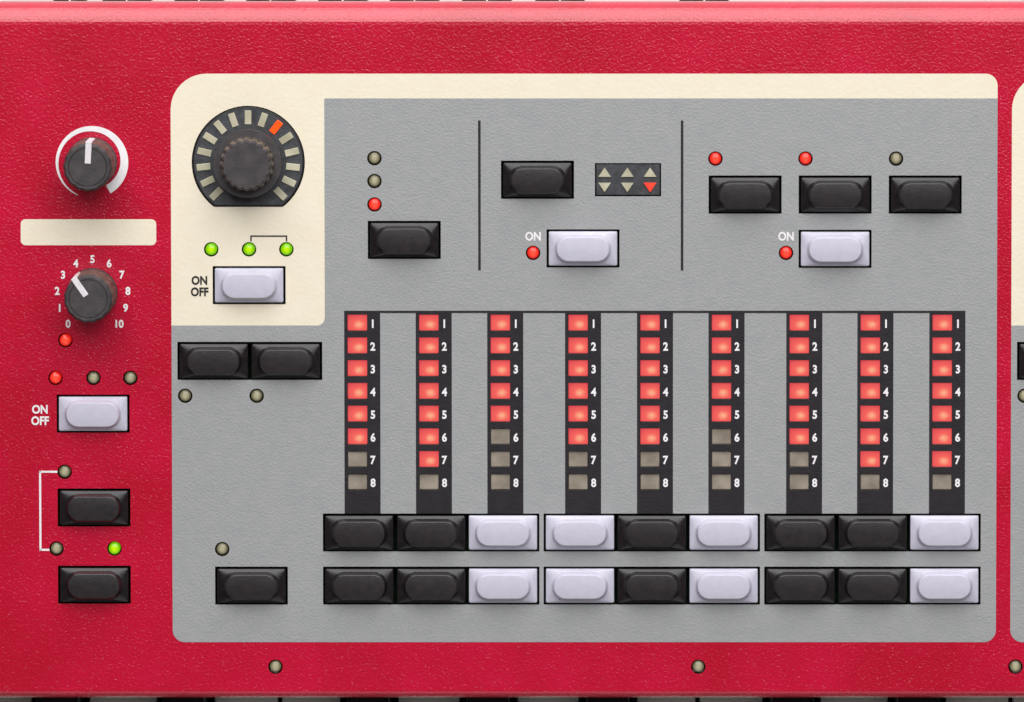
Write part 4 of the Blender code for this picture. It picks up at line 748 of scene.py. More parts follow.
def white_prints(cutters):
    """White figures and lines: drawbar steps, drive scale, switch words and the mode bracket."""
    made = [level_swell()]
    for middle in COLUMN_MIDDLES:
        for row in range(WINDOW_ROWS):
            place = (middle + STEP_ASIDE, WINDOW_TOP - row * WINDOW_PITCH - STEP_DROP)
            made.append(letters(str(row + 1), place, WHITE_INK, **STEP_FIGURE))
    for number in range(11):
        angle = math.radians(SCALE_START + SCALE_STEP * number)
        reach = SCALE_RADIUS + (SCALE_END_OUT if number in (0, 10) else 0)
        u = DRIVE_KNOB[0] + reach * math.sin(angle) + (SCALE_TEN_ASIDE if number == 10 else 0)
        place = (u, DRIVE_KNOB[1] - SCALE_DROP + reach * math.cos(angle))
        made.append(letters(str(number), place, WHITE_INK, **SCALE_FIGURE))
    made += [letters(word, place, WHITE_INK, **SWITCH_WORDS) for word, place in WHITE_WORDS]
    return joined("white_prints", made + strokes(WHITE_LINES, WHITE_INK, 1, cutters))


def dark_letters():
    return letters("ON\nOFF", (0.0446, 0.0924), BLACK_INK, **SWITCH_WORDS)


# Caps, lamps and windows

CAP_FACE = (0.0152, 0.0076)
CAP_CORNER = 0.0003
CAP_EASE = 0.00022
CAP_RIM = 0.0006
CAP_SHOULDER = 0.00045
CAP_SKIRT = 0.0026
PAD_FOOT = (0.0124, 0.0063)
PAD_SIZE = (0.0115, 0.0054)
PAD_RISE = 0.0015
PAD_CORNER = 0.0029
LAMP_BARREL, LAMP_TOP = 0.0020, -0.0001
LAMP_DOME = ((0.00022, 0.93), (0.00018, 0.80), (0.00012, 0.6), (0.00005, 0.5))
LENS_THICKNESS = 0.0012
LENS_DROP = 0.0003
LENS_PLAY = 0.0001


def outline_face(size, radius, height, steps=7):
    """In edit mode, adds a face with round corners."""
    bpy.ops.mesh.select_all(action="DESELECT")
    bpy.ops.mesh.select_mode(type="VERT")
    bpy.ops.mesh.primitive_plane_add(size=1.0, location=(0, 0, height))
    stretch(*size, 1, centre=(0, 0, height))
    bpy.ops.mesh.bevel(affect="VERTICES", offset=radius, segments=steps)


def cap_pattern():
    """A moulded cap: skirt, rim, a slope all round, and a raised pad with round ends."""
    cap = blank("cap")
    outline_face(CAP_FACE, CAP_CORNER, CAP_RIM)
    pull(z=-CAP_SKIRT)
    pad_foot = CAP_RIM + CAP_SHOULDER
    outline_face(PAD_FOOT, PAD_CORNER, pad_foot)
    pull(z=PAD_RISE)
    stretch(PAD_SIZE[0] / PAD_FOOT[0], PAD_SIZE[1] / PAD_FOOT[1], 1)
    pick(cap, lambda f: len(f.verts) > 4 and (abs(f.calc_center_median().z - CAP_RIM) < NEAR
                                             or abs(f.calc_center_median().z - pad_foot) < NEAR))
    bpy.ops.mesh.delete(type="ONLY_FACE")
    pick(cap, lambda e: e.is_boundary, "edges")
    bpy.ops.mesh.bridge_edge_loops()
    outwards()
    leave()
    ease(cap, CAP_EASE, 3, 15)
    smooth(cap, 50)
    return cap


def coloured(cap, white):
    """Gives a cap its plastic, with its spark-eroded pad apart."""
    paint(cap, *(WHITE_PLASTIC if white else BLACK_PLASTIC))
    top = max(vertex.co.dot(PANEL_UP) for vertex in cap.data.vertices)
    second_finish(cap, lambda face: face.center.dot(PANEL_UP) > top - 0.00005)
    return cap


def lamp_pattern():
    """An LED lens: a short barrel with a low dome."""
    lamp = rod(24, LED_LENS, LAMP_BARREL, (0, 0, LAMP_TOP - LAMP_BARREL / 2))
    enter(lamp)
    pick(lamp, lambda f: f.normal.z > 0.9)
    for rise, share in LAMP_DOME:
        pull(z=rise)
        stretch(share, share, 1)
    leave()
    disc = lamp.data.uv_layers.active.data
    for corner, loop in zip(disc, lamp.data.loops):
        corner.uv = lamp.data.vertices[loop.vertex_index].co.xy / LED_LENS
    smooth(lamp, 60)
    return lamp


def window_lenses(name, middles, diffuser):
    """Diffusers set just under the openings, each with its own UV square."""
    lenses = blank(name)
    for u, v in middles:
        place = (*from_datum(u, v), -LENS_DROP)
        bpy.ops.mesh.primitive_plane_add(size=1.0, location=place)
        stretch(*(size - LENS_PLAY for size in WINDOW_SIZE), 1, centre=place)
    bpy.ops.mesh.select_all(action="SELECT")
    pull(z=-LENS_THICKNESS)
    bpy.ops.mesh.select_all(action="SELECT")
    bpy.ops.mesh.normals_make_consistent(inside=False)
    leave()
    ease(paint(lenses, diffuser), 0.00015, 2, 40)
    return lenses


# Knobs, LED ring, indicator and display

KNOB_FOOT = 0.0008
KNOB_TOP = 0.0150
GRIP_FOOT, RIM_STEP = 0.0008, 0.0003   # the grip's foot, and each of the two steps of its rim
GROOVE_HALF, GROOVE_DEPTH = 0.00012, 0.00018
POINTER = 0.00135             # width of the white line
BEZEL_DEPTH, BEZEL_TOP = 0.0026, 0.0003
RIM_LINE = 0.00012
SEGMENT_SIZE = (0.0015, 0.0031, 0.0006)
SEGMENT_RADIUS, SEGMENT_LIFT = 0.00998, 0.00012
SEGMENT_START, SEGMENT_STEP = -134.4, 19.2
BEZEL_LIGHT_LIFT = 0.0001
LIT_SEGMENT = 9
ARROW_WINDOW, ARROW_WINDOW_MIDDLE = (0.0141, 0.0068, 0.0030), (0, 0, -0.00155)
ARROW_RADIUS, ARROW_THICKNESS, ARROW_LIFT = 0.00145, 0.0004, 0.00002
ARROW_START, ARROW_STEP, ARROW_ROW = -0.0052, 0.00505, 0.00135
DISPLAY_GLASS = (0.0652, 0.0272, 0.0030)
DISPLAY_FRAME, CRYSTAL_DROP = 0.0035, 0.0002
CONTROL_BOARD, CONTROL_BOARD_MIDDLE = (0.861, 0.139, 0.0016), (0.4345, 0.0745)
CONTROL_BOARD_DROP = 0.0113
LAMP_BAR, LAMP_BAR_MIDDLE, LAMP_BAR_DROP = (0.006, 0.0410, 0.0086), 0.0664, 0.0061


def knob_pattern(skirt, skirt_top, grip, crown, top, side, groove=0.0, lobes=16, lobe_depth=0.03):
    """A knob: low skirt, lobed grip, eased rim, and a round groove or a low dome on top."""
    knob = rod(6 * lobes, skirt, skirt_top - KNOB_FOOT, (0, 0, (skirt_top + KNOB_FOOT) / 2))
    enter(knob)
    pick(knob, lambda f: f.normal.z > 0.9)
    reach = skirt

    def step(rise, radius):
        nonlocal reach
        pull(z=rise)
        stretch(radius / reach, radius / reach, 1)
        reach = radius

    step(0.0, grip)
    step(GRIP_FOOT, grip - 0.00002)
    step(top - skirt_top - GRIP_FOOT - 2 * RIM_STEP, crown + 0.0001)
    step(RIM_STEP, crown - 0.0001)
    step(RIM_STEP, crown - 0.0004)
    if groove:
        step(0.0, groove + GROOVE_HALF)
        step(-GROOVE_DEPTH, groove)
        step(GROOVE_DEPTH, groove - GROOVE_HALF)
    step(0.0, crown * 0.5)
    leave()
    for vertex in knob.data.vertices:
        radius = math.hypot(vertex.co.x, vertex.co.y)
        if vertex.co.z > skirt_top + 0.0004 and radius > crown - 0.0006:
            wave = math.cos(lobes * math.atan2(vertex.co.y, vertex.co.x))
            share = 1 - lobe_depth * (1 - wave) / 2
            vertex.co.x *= share
            vertex.co.y *= share
    paint(knob, KNOB_RUBBER, side, POINTER_PAINT)
    second_finish(knob, lambda f: abs(f.normal.z) < 0.4 and f.center.z > skirt_top)
    smooth(knob, 35)
    return knob


def pointed(pattern, name, crown):
    """A copy of the knob with a white line over its top and down its side."""
    knob = another(pattern, name, Matrix.Identity(4))
    rounding = 0.0001
    top = bar("line_top", (POINTER, crown - 0.0006, 0.0004),
              (0, (crown + 0.0008) / 2 + 0.0001, KNOB_TOP), rounding)
    side = bar("line_side", (POINTER, 0.0005, 0.0118),
               (0, crown + 0.0002, KNOB_TOP - 0.0059 + 0.0002), rounding)
    return joined(name, [knob, paint(top, POINTER_PAINT), paint(side, POINTER_PAINT)])


def ring_bezel():
    """The LED ring's window: a dark textured disc with a straight lower edge and a rim line."""
    bezel = rod(96, BEZEL_RADIUS, BEZEL_DEPTH, (0, 0, BEZEL_TOP - BEZEL_DEPTH / 2))
    enter(bezel)
    bpy.ops.mesh.bisect(plane_co=(0, -BEZEL_FLAT, 0), plane_no=(0, -1, 0), use_fill=True,
                        clear_outer=True)
    leave()
    ease(bezel, 0.00025)
    enter(bezel)
    pick(bezel, lambda f: f.normal.z > 0.99)
    bpy.ops.mesh.inset(thickness=RIM_LINE)
    leave()
    bezel.name = "level_ring_window"
    paint(bezel, BEZEL_EDGE, BEZEL_ABS)
    second_finish(bezel, lambda face: face.normal.z > 0.99 and face.area > 0.0001)
    smooth(bezel, 30)
    return bezel


def ring_segments():
    """Fifteen lens bars round the knob, the lit one apart."""
    dark, lit = [], []
    for number in range(15):
        turn = Matrix.Rotation(-math.radians(SEGMENT_START + SEGMENT_STEP * number), 4, "Z")
        segment = bar("segment", SEGMENT_SIZE, rounding=0.0001)
        settle(segment, turn @ Matrix.Translation((0, SEGMENT_RADIUS, SEGMENT_LIFT)))
        shines = number == LIT_SEGMENT
        (lit if shines else dark).append(paint(segment, SEGMENT_LIT if shines else SEGMENT_DARK))
    return joined("level_ring_lamps", dark), joined("level_ring_lit_lamp", lit)


def indicator():
    """The dark six-arrow window, three arrows up and three down."""
    window = paint(bar("arrow_window", ARROW_WINDOW, ARROW_WINDOW_MIDDLE, 0.0001), BEZEL_ABS)
    dark, lit = [], []
    for column in range(3):
        for way, turn in ((1, 0), (-1, math.pi)):
            arrow = rod(3, ARROW_RADIUS, ARROW_THICKNESS)
            arrow.scale = (1.12, 0.95, 1)
            fix_place(arrow)
            place = Matrix.Translation((ARROW_START + ARROW_STEP * column, way * ARROW_ROW,
                                        ARROW_LIFT))
            settle(arrow, place @ Matrix.Rotation(turn, 4, "Z"))
            shines = column == 2 and way < 0
            (lit if shines else dark).append(
                paint(arrow, TRIANGLE_LIT if shines else SEGMENT_DARK))
    return window, joined("arrow_lamps", dark), joined("arrow_lit_lamp", lit)


# The keyboard

NATURAL_COUNT = 43
KEY_GAP = 0.001
KEY_FRONT_Y = -0.140903
KEY_TAIL_Y = 0.087097
KEY_LOW = 0.054
KEY_TOP = 0.070
SHARP_FRONT_Y = -0.083903
SHARP_CAP_REAR = 0.014097
SHARP_WIDTH = 0.011
SHARP_TOP_WIDTH = 0.0092
SHARP_TOP = 0.082
SHARP_NOSE = 0.006
TAIL_TOP = 0.068
NOTES = ("e", "f", "g", "a", "b", "c", "d")
SHARPED = ("f", "g", "a", "c", "d")
FIRST_PLAYED = 19
PLAYED = ("c", "d", "e", "f", "g")
PLAYED_SHARPS = ("c", "d", "f")
# Name, depth, height, middle Y, middle Z and rounding
BED_SHEETS = (("chassis", 0.2300, 0.003, -0.0259, 0.0113, 0.0004),
              ("guide", 0.006, 0.029, -0.1279, 0.0268, 0.0005),
              ("wall", 0.002, 0.0408, 0.0791, 0.0332, 0.0003))


def note(index):
    return NOTES[index % 7]


def natural_left(index):
    return -PANEL_HALF + index * NATURAL_PITCH


def sharp_middle(index):
    """Sharps divide C to E into fifths and F to B into sevenths."""
    low_group = note(index) in ("c", "d")
    run, share = (3, 5) if low_group else (4, 7)
    order = ("c", "d").index(note(index)) if low_group else ("f", "g", "a").index(note(index))
    return natural_left(index - order) + run * NATURAL_PITCH / share * (2 * order + 1.5)


def natural_key(index):
    """One white key: a block with its sides cut back for the sharps, and its edges eased."""
    left, right = natural_left(index) + KEY_GAP / 2, natural_left(index + 1) - KEY_GAP / 2
    key = bar("natural", (right - left, KEY_TAIL_Y - KEY_FRONT_Y, KEY_TOP - KEY_LOW),
              ((left + right) / 2, (KEY_TAIL_Y + KEY_FRONT_Y) / 2, (KEY_TOP + KEY_LOW) / 2))
    shoulder = SHARP_FRONT_Y - KEY_GAP
    for side, sharp, edge in ((-1, index - 1, left), (1, index, right)):
        if 0 <= sharp < NATURAL_COUNT - 1 and note(sharp) in SHARPED:
            tail = sharp_middle(sharp) - side * (SHARP_WIDTH / 2 + KEY_GAP)
            far = edge + side * 0.01
            cut_once(key, bar("notch", (abs(far - tail), 0.3, 0.1),
                              ((far + tail) / 2, shoulder + 0.15, KEY_LOW)))
    ease(key, 0.0005, 3, 40)
    smooth(key, 40)
    return paint(key, KEY_WHITE)


def sharp_pattern():
    """One black key: a tapered cap with a sloping nose and soft edges, and its low tail."""
    length, low, overlap = SHARP_CAP_REAR - SHARP_FRONT_Y, KEY_LOW + 0.001, 0.002
    key = bar("sharp", (SHARP_WIDTH, length, SHARP_TOP - low),
              (0, SHARP_FRONT_Y + length / 2, (SHARP_TOP + low) / 2))
    enter(key)
    pick(key, lambda f: f.normal.z > 0.9)
    stretch(SHARP_TOP_WIDTH / SHARP_WIDTH, 1, 1)
    pick(key, lambda v: v.co.z > SHARP_TOP - 0.001 and v.co.y < SHARP_FRONT_Y + 0.001, "verts")
    bpy.ops.transform.translate(value=(0, SHARP_NOSE, 0))
    leave()
    ease(key, 0.0011, 4, 30)
    front = SHARP_CAP_REAR - overlap
    tail = bar("tail", (SHARP_WIDTH - 0.0002, KEY_TAIL_Y - front, TAIL_TOP - low),
               (0, (KEY_TAIL_Y + front) / 2, (TAIL_TOP + low) / 2), 0.0003)
    key = joined("sharp", [key, tail])
    smooth(key, 40)
    return paint(key, KEY_BLACK)


def lay_keys():
    """Eight keys that play, and the rest joined on the key bed and the rail over their tails."""
    whites, still = {}, []
    for index in range(NATURAL_COUNT):
        kind = (note(index), index in (0, NATURAL_COUNT - 1))
        if kind not in whites:
            whites[kind] = (natural_key(index), index)
        pattern, home = whites[kind]
        place = Matrix.Translation(((index - home) * NATURAL_PITCH, 0, 0))
        if FIRST_PLAYED <= index < FIRST_PLAYED + len(PLAYED):
            body = f"key_{note(index)}"
            fit(another(pattern, f"{body}_white", place), body, [body])
        else:
            still.append(another(pattern, "white", place))
    for pattern, _ in whites.values():
        bpy.data.objects.remove(pattern)
    mount(joined("still_white_keys", still), "ivory", "keybed")
    black, still = sharp_pattern(), []
    for index in range(NATURAL_COUNT - 1):
        if note(index) not in SHARPED:
            continue
        place = Matrix.Translation((sharp_middle(index), 0, 0))
        if FIRST_PLAYED <= index < FIRST_PLAYED + len(PLAYED) - 1 and note(index) in PLAYED_SHARPS:
            body = f"key_{note(index)}_sharp"
            fit(another(black, f"{body}_black", place), body, [body])
        else:
            still.append(another(black, "black", place))
    bpy.data.objects.remove(black)
    mount(joined("still_black_keys", still), "ebony", "key_rail")
    lay_chassis()


def lay_chassis():
    """What carries the keys: chassis with guide and rear wall, and the rail over the tails."""
    width = 2 * PANEL_HALF - 0.002
    bed = joined("key_chassis", [bar(name, (width, depth, height), (0, y, z), rounding)
                                 for name, depth, height, y, z, rounding in BED_SHEETS])
    mount(paint(bed, ZINC), "ivory", "keybed")
    rail = bar("key_tail_rail", (width, 0.0170, 0.005), (0, 0.0731, 0.0728), 0.0005)
    mount(paint(rail, ZINC), "ebony", "key_rail")


# The casing

def bottom_tray():
    """The tray, bent from one sheet: rear flange, floor, slip front, slip top and turned edge."""
    square, soft, tight, flange, edge = math.pi / 2, 0.004, 0.002, 0.012, 0.008
    top, slip_rear = 0.056, FRONT_Y + 0.0281
    low, high = FRONT_Y + soft, WALL_INSIDE - tight
    tray = sheet("folded_tray", (-PANEL_HALF, low), (PANEL_HALF, high), FOOT_HEIGHT)
    pick(tray, edge_at(high), "edges")
    fold(6, square, high, FOOT_HEIGHT + tight, -1)
    pull(z=flange - tight)
    pick(tray, edge_at(low), "edges")
    fold(8, square, low, FOOT_HEIGHT + soft, 1)
    pull(z=top - FOOT_HEIGHT - 2 * soft)
    fold(8, square, low, top - soft, 1)
    pull(y=slip_rear - tight - low)
    fold(6, square, slip_rear - tight, top - tight, 1)
    pull(z=tight - edge)
    outwards()
    leave()
    if min(tray.data.polygons, key=lambda f: f.center.z).normal.z > 0:
        tray.data.flip_normals()
    modify(tray, "SOLIDIFY", thickness=SHEET, offset=-1.0, use_even_offset=True)
    smooth(tray, 40)
    return paint(tray, POWDER_COAT)


def cheek(side):
    """An end cheek: key block, sweep up to the panel's slope, eased all round its outer face."""
    corners = [((FRONT_Y, FOOT_HEIGHT), 0.004), ((FRONT_Y, 0.076), 0.014),
               ((PANEL_FRONT_Y - 0.016, 0.076), 0.012), ((PANEL_FRONT_Y, 0.093), 0.012),
               ((REAR_WALL_Y, 0.106596), 0.005), ((REAR_WALL_Y, FOOT_HEIGHT), 0.0)]
    inner, thickness = PANEL_HALF + 0.0003, 0.0249
    deselect()
    bpy.ops.mesh.primitive_circle_add(vertices=len(corners), radius=0.1, fill_type="NGON")
    piece = bpy.context.object
    for vertex, (corner, _) in zip(piece.data.vertices, corners):
        vertex.co = (side * inner, *corner)
    enter(piece)
    points = [Vector(corner) for corner, _ in corners]
    for index, (corner, radius) in enumerate(corners):
        if not radius:
            continue
        before, after = points[index - 1] - points[index], points[(index + 1) % 6] - points[index]
        reach = radius / math.tan(before.angle(after) / 2)
        pick(piece, lambda v: math.hypot(v.co.y - corner[0], v.co.z - corner[1]) < 1e-5, "verts")
        bpy.ops.mesh.bevel(affect="VERTICES", offset=reach, segments=10)
    bpy.ops.mesh.select_all(action="SELECT")
    pull(x=side * thickness)
    outwards()
    pick(piece, lambda e: all(abs(abs(v.co.x) - inner - thickness) < 1e-5 for v in e.verts),
         "edges")
    bpy.ops.mesh.bevel(offset=0.004, segments=5)
    leave()
    smooth(piece, 30)
    return paint(piece, CHEEK_LACQUER)


def foot_pattern():
    """A rubber foot with a moulded recess for its cross-slotted screw."""
    height, low_radius, high_radius = 0.0077, 0.0125, 0.014
    rim, lip, recess = 0.0070, 0.0004, 0.003
    deselect()
    bpy.ops.mesh.primitive_cone_add(vertices=48, radius1=low_radius, radius2=high_radius,
                                    depth=height, location=(0, 0, height / 2))
    foot = bpy.context.object
    fix_place(foot)
    enter(foot)
    pick(foot, lambda f: f.normal.z < -0.9)
    bpy.ops.mesh.inset(thickness=rim)
    bpy.ops.mesh.inset(thickness=lip)
    pull(z=recess)
    leave()
    ease(foot, 0.0008, 3, 50)
    screw = rod(24, 0.0040, 0.0016, (0, 0, 0.0024))
    for turn in (0, math.pi / 2):
        slot = bar("slot", (0.0045, 0.0009, 0.0016), (0, 0, 0.0015))
        cut_once(screw, settle(slot, Matrix.Rotation(turn, 4, "Z")))
    foot = joined("foot", [paint(foot, FOOT_RUBBER, ZINC), paint(screw, ZINC)])
    smooth(foot, 40)
    return foot


def wheel_pattern():
    """A thumb wheel: rounded tyre with fine ribs, hub rings, a thumb hollow and its axle stubs."""
    radius, width, rib_degrees, rib_depth = 0.026, 0.011, 3, 0.012
    wheel = rod(120, radius, width, turn=ACROSS)
    enter(wheel)
    pick(wheel, lambda f: abs(f.normal.x) > 0.9)
    bpy.ops.mesh.inset(thickness=0.004)
    bpy.ops.mesh.inset(thickness=0.0004)
    stretch(0.86, 1, 1)
    leave()
    for vertex in wheel.data.vertices:
        if math.hypot(vertex.co.y, vertex.co.z) > radius - 0.0001:
            turned = math.degrees(math.atan2(vertex.co.z, vertex.co.y))
            vertex.co.yz *= 1 - rib_depth * (round(turned / rib_degrees) % 2)
    cut_once(wheel, rod(48, 0.0070, 0.02, (0, 0, radius + 0.0054), ACROSS))
    ease(wheel, 0.0004)
    axle = rod(24, 0.002, width + 0.009, turn=ACROSS)
    ease(axle, 0.0003)
    wheel = joined("wheel", [paint(wheel, KNOB_RUBBER), paint(axle, KNOB_RUBBER)])
    smooth(wheel, 35)
    return wheel


def wheel_tabs():
    """The tabs under the panel that carry the wheels' axles."""
    tabs = [bar("tab", (0.0015, 0.012, 0.0174), (DATUM_X + u + side * 0.00725, v, -0.0102), 0.0004)
            for u, v in WHEELS.values() for side in (-1, 1)]
    return paint(joined("wheel_tabs", tabs), ZINC)


# Rear sockets and boards

JACKS = (0.0258, 0.0422, 0.0585, 0.0749, 0.0912, 0.1077, 0.1243, 0.1571)
MINI_JACK = 0.0127
USB_SOCKET = 0.1406
INLET = 0.8199765
ROCKER = 0.7899765
SOCKET_HEIGHT = 0.054
SOCKET_INSIDE = 0.0240
SOCKET_PROUD = 0.001          # of the frames, off the rear wall
JACK_CASE, JACK_BUSHING, JACK_BORE, JACK_NUT = 0.0140, 0.0046, 0.00335, 0.0066
MINI_CASE, MINI_BUSHING, MINI_BORE, MINI_NUT = 0.0090, 0.0030, 0.0018, 0.0045
USB_BODY, USB_HOLLOW, USB_DEPTH = (0.0120, 0.0110), (0.0084, 0.0078), 0.009
USB_TONGUE, TONGUE_DEPTH = (0.0056, 0.0060, 0.0030), 0.005
INLET_BODY, INLET_HOLLOW, INLET_DEPTH = (0.0270, 0.0180), (0.0186, 0.0098), 0.014
PIN_ASIDE, PIN_RADIUS, PIN_FOOT, PIN_TIP = 0.0043, 0.0012, 0.0132, 0.0030
ROCKER_BODY, ROCKER_HOLLOW, ROCKER_DEPTH = (0.0150, 0.0220), (0.0124, 0.0200), 0.011
ROCKER_CAP, ROCKER_PIVOT = (0.0114, 0.0070, 0.0176), (0.0126, 0.0016, 0.0016)
SOCKET_BOARD, SOCKET_BOARD_MIDDLE = (0.8359765, 0.0016, 0.0330), 0.42198825
SOCKET_BOARD_DEPTH, SOCKET_BOARD_HEIGHT = 0.0246, 0.0525
WALL_CLEARANCE = 0.0001
ROCKER_AXLE = (DATUM_X + ROCKER, REAR_WALL_Y - 0.002, SOCKET_HEIGHT)
ROCKER_TIP = math.radians(-7)
MARK_HEIGHT = 0.0045


def jack_pattern(body, bushing, bore, nut):
    """A panel jack: body behind the wall, threaded bushing with a hex nut, and its bore."""
    made = [bar("case", (body, SOCKET_INSIDE - 0.002, body),
                (0, WALL_INSIDE - SOCKET_INSIDE / 2 + 0.001, 0), 0.0004)]
    for radius, sides, low, high in ((bushing, 32, WALL_INSIDE - 0.0002, REAR_WALL_Y + 0.005),
                                     (nut, 6, REAR_WALL_Y + 0.0001, REAR_WALL_Y + 0.0024)):
        ring = rod(sides, radius, high - low, (0, (low + high) / 2, 0), REARWARD)
        ease(ring, 0.0003)
        made.append(ring)
    hole = rod(32, bore, 0.024, (0, REAR_WALL_Y - 0.0069, 0), REARWARD)
    for piece, metal in zip(made, (BLACK_ABS, NICKEL, NICKEL)):
        paint(cut(piece, hole), metal)
    bpy.data.objects.remove(hole)
    jack = joined("jack", made)
    smooth(jack, 35)
    return jack


def framed_socket(name, u, body, hollow, depth, shell_finish):
    """A rectangular socket with eased edges, hollowed from the rear."""
    x, face, inside = DATUM_X + u, REAR_WALL_Y + SOCKET_PROUD, SOCKET_INSIDE + SOCKET_PROUD
    shell = bar(name, (body[0], inside, body[1]), (x, face - inside / 2, SOCKET_HEIGHT), 0.0004)
    cut_once(shell, bar("hollow", (hollow[0], 2 * depth, hollow[1]), (x, face, SOCKET_HEIGHT),
                        0.0006))
    smooth(shell, 35)
    return paint(shell, shell_finish)


def pin(x):
    made = rod(20, PIN_RADIUS, PIN_FOOT - PIN_TIP,
               (x, REAR_WALL_Y - (PIN_FOOT + PIN_TIP) / 2, SOCKET_HEIGHT), REARWARD)
    ease(made, PIN_RADIUS * 0.3)
    return paint(made, NICKEL)


def on_board(name, pieces):
    mount(joined(name, pieces), "socket", "socket_board")


def lay_sockets():
    """Jacks, USB socket, mains inlet and the rocker's frame, on their circuit board."""
    made = []
    full = jack_pattern(JACK_CASE, JACK_BUSHING, JACK_BORE, JACK_NUT)
    mini = jack_pattern(MINI_CASE, MINI_BUSHING, MINI_BORE, MINI_NUT)
    for pattern, places in ((full, JACKS), (mini, (MINI_JACK,))):
        made += [another(pattern, "jack", Matrix.Translation((DATUM_X + u, 0, SOCKET_HEIGHT)))
                 for u in places]
        bpy.data.objects.remove(pattern)
    on_board("rear_jacks", made)
    usb = framed_socket("usb_shell", USB_SOCKET, USB_BODY, USB_HOLLOW, USB_DEPTH, NICKEL)
    tongue = bar("tongue", USB_TONGUE,
                 (DATUM_X + USB_SOCKET, REAR_WALL_Y - TONGUE_DEPTH, SOCKET_HEIGHT), 0.0002)
    on_board("usb_socket", [usb, paint(tongue, WHITE_ABS)])
    inlet = framed_socket("inlet_shell", INLET, INLET_BODY, INLET_HOLLOW, INLET_DEPTH, BLACK_ABS)
    on_board("mains_inlet", [inlet] + [pin(DATUM_X + INLET + side * PIN_ASIDE)
                                       for side in (-1, 1)])
    holder = framed_socket("rocker_frame", ROCKER, ROCKER_BODY, ROCKER_HOLLOW, ROCKER_DEPTH,
                           BLACK_ABS)
    axle = bar("axle", ROCKER_PIVOT, ROCKER_AXLE, 0.0003)
    on_board("rocker_frame", [holder, paint(axle, NICKEL)])
    board = bar("socket_circuit_board", SOCKET_BOARD,
                (DATUM_X + SOCKET_BOARD_MIDDLE, REAR_WALL_Y - SOCKET_BOARD_DEPTH,
                 SOCKET_BOARD_HEIGHT), 0.0002)
    mount(paint(board, SOLDER_MASK), "socket", "socket_board")
    fit(rocker_cap(), "power_rocker", ["power_rocker"])


def rocker_cap():
    """The mains rocker, tipped to its rest: a moulded stroke for on, a printed ring for off."""
    rocker = bar("rocker", ROCKER_CAP)
    enter(rocker)
    pick(rocker, lambda f: f.normal.y < -0.9)
    stretch(1, 1, 0.8)
    pick(rocker, lambda f: f.normal.y > 0.9)
    bpy.ops.mesh.inset(thickness=0.0009)
    pull(y=-0.0003)
    leave()
    ease(rocker, 0.0005, 3, 35)
    paint(rocker, BLACK_ABS)
    stroke = paint(bar("on_mark", (0.0006, 0.0002, 0.0036), (0, 0.00325, MARK_HEIGHT)), BLACK_ABS)
    deselect()
    bpy.ops.mesh.primitive_torus_add(major_radius=0.0015, minor_radius=0.00025, major_segments=32,
                                     minor_segments=8, location=(0, 0.00322, -MARK_HEIGHT),
                                     rotation=REARWARD)
    ring = bpy.context.object
    fix_place(ring)
    rocker = joined("mains_rocker", [rocker, stroke, paint(ring, WHITE_INK)])
    smooth(rocker, 40)
    return settle(rocker, Matrix.Translation(ROCKER_AXLE) @ Matrix.Rotation(ROCKER_TIP, 4, "X"))


def control_board():
    """The board under the deck with the bars that carry its lamps."""
    board = bar("board", CONTROL_BOARD,
                (*from_datum(*CONTROL_BOARD_MIDDLE), -CONTROL_BOARD_DROP), 0.0002)
    bars = [bar("lamp_bar", LAMP_BAR, (*from_datum(middle + WINDOW_SHIFT, LAMP_BAR_MIDDLE),
                                       -LAMP_BAR_DROP), 0.0003) for middle in COLUMN_MIDDLES]
    return joined("control_circuit_board",
                  [paint(board, SOLDER_MASK)] + [paint(piece, BLACK_SHROUD_AND_GAP_SHADE) for piece in bars])


def display_window():
    """Smoked glass with the crystal sunk a little into its middle."""
    glass = bar("display_window", DISPLAY_GLASS,
                (*from_datum(*DISPLAY), -DISPLAY_GLASS[2] / 2), 0.0003)
    enter(glass)
    pick(glass, lambda f: f.normal.z > 0.99)
    bpy.ops.mesh.inset(thickness=DISPLAY_FRAME)
    pull(z=-CRYSTAL_DROP)
    leave()
    paint(glass, SMOKED_GLASS, LCD_GREEN)
    second_finish(glass, lambda face: face.normal.z > 0.99 and face.center.z < -CRYSTAL_DROP / 2
                  and face.area > 0.001)
    return glass


# The picture: camera, floor and light

VIEW_CENTRE = (0.1140, 0.0779)      # of the photographed strip, on the panel
CAMERA_FOOT = (0.140, 0.255)        # straight below the camera, on the panel
CAMERA_HEIGHT = 1.8
CAMERA_TILT = math.radians(4.1)     # the rest of the slant is lens shift
STRIP_WIDTH = 0.2277
SENSOR = 36.0


def set_camera():
    """Over the panel's rear edge, tilted and shifted until the strip fills the picture."""
    camera = bpy.data.objects.new("camera", bpy.data.cameras.new("camera"))
    bpy.context.scene.collection.objects.link(camera)
    camera.matrix_world = at(*CAMERA_FOOT, CAMERA_HEIGHT) @ Matrix.Rotation(-CAMERA_TILT, 4, "X")
    aside, up, back = camera.matrix_world.inverted() @ at(*VIEW_CENTRE).translation
    camera.data.sensor_width = SENSOR
    camera.data.lens = SENSOR * -back / STRIP_WIDTH
    camera.data.shift_x = aside / STRIP_WIDTH
    camera.data.shift_y = up / STRIP_WIDTH
    camera.data.clip_start, camera.data.clip_end = 0.05, 20
    bpy.context.scene.camera = camera


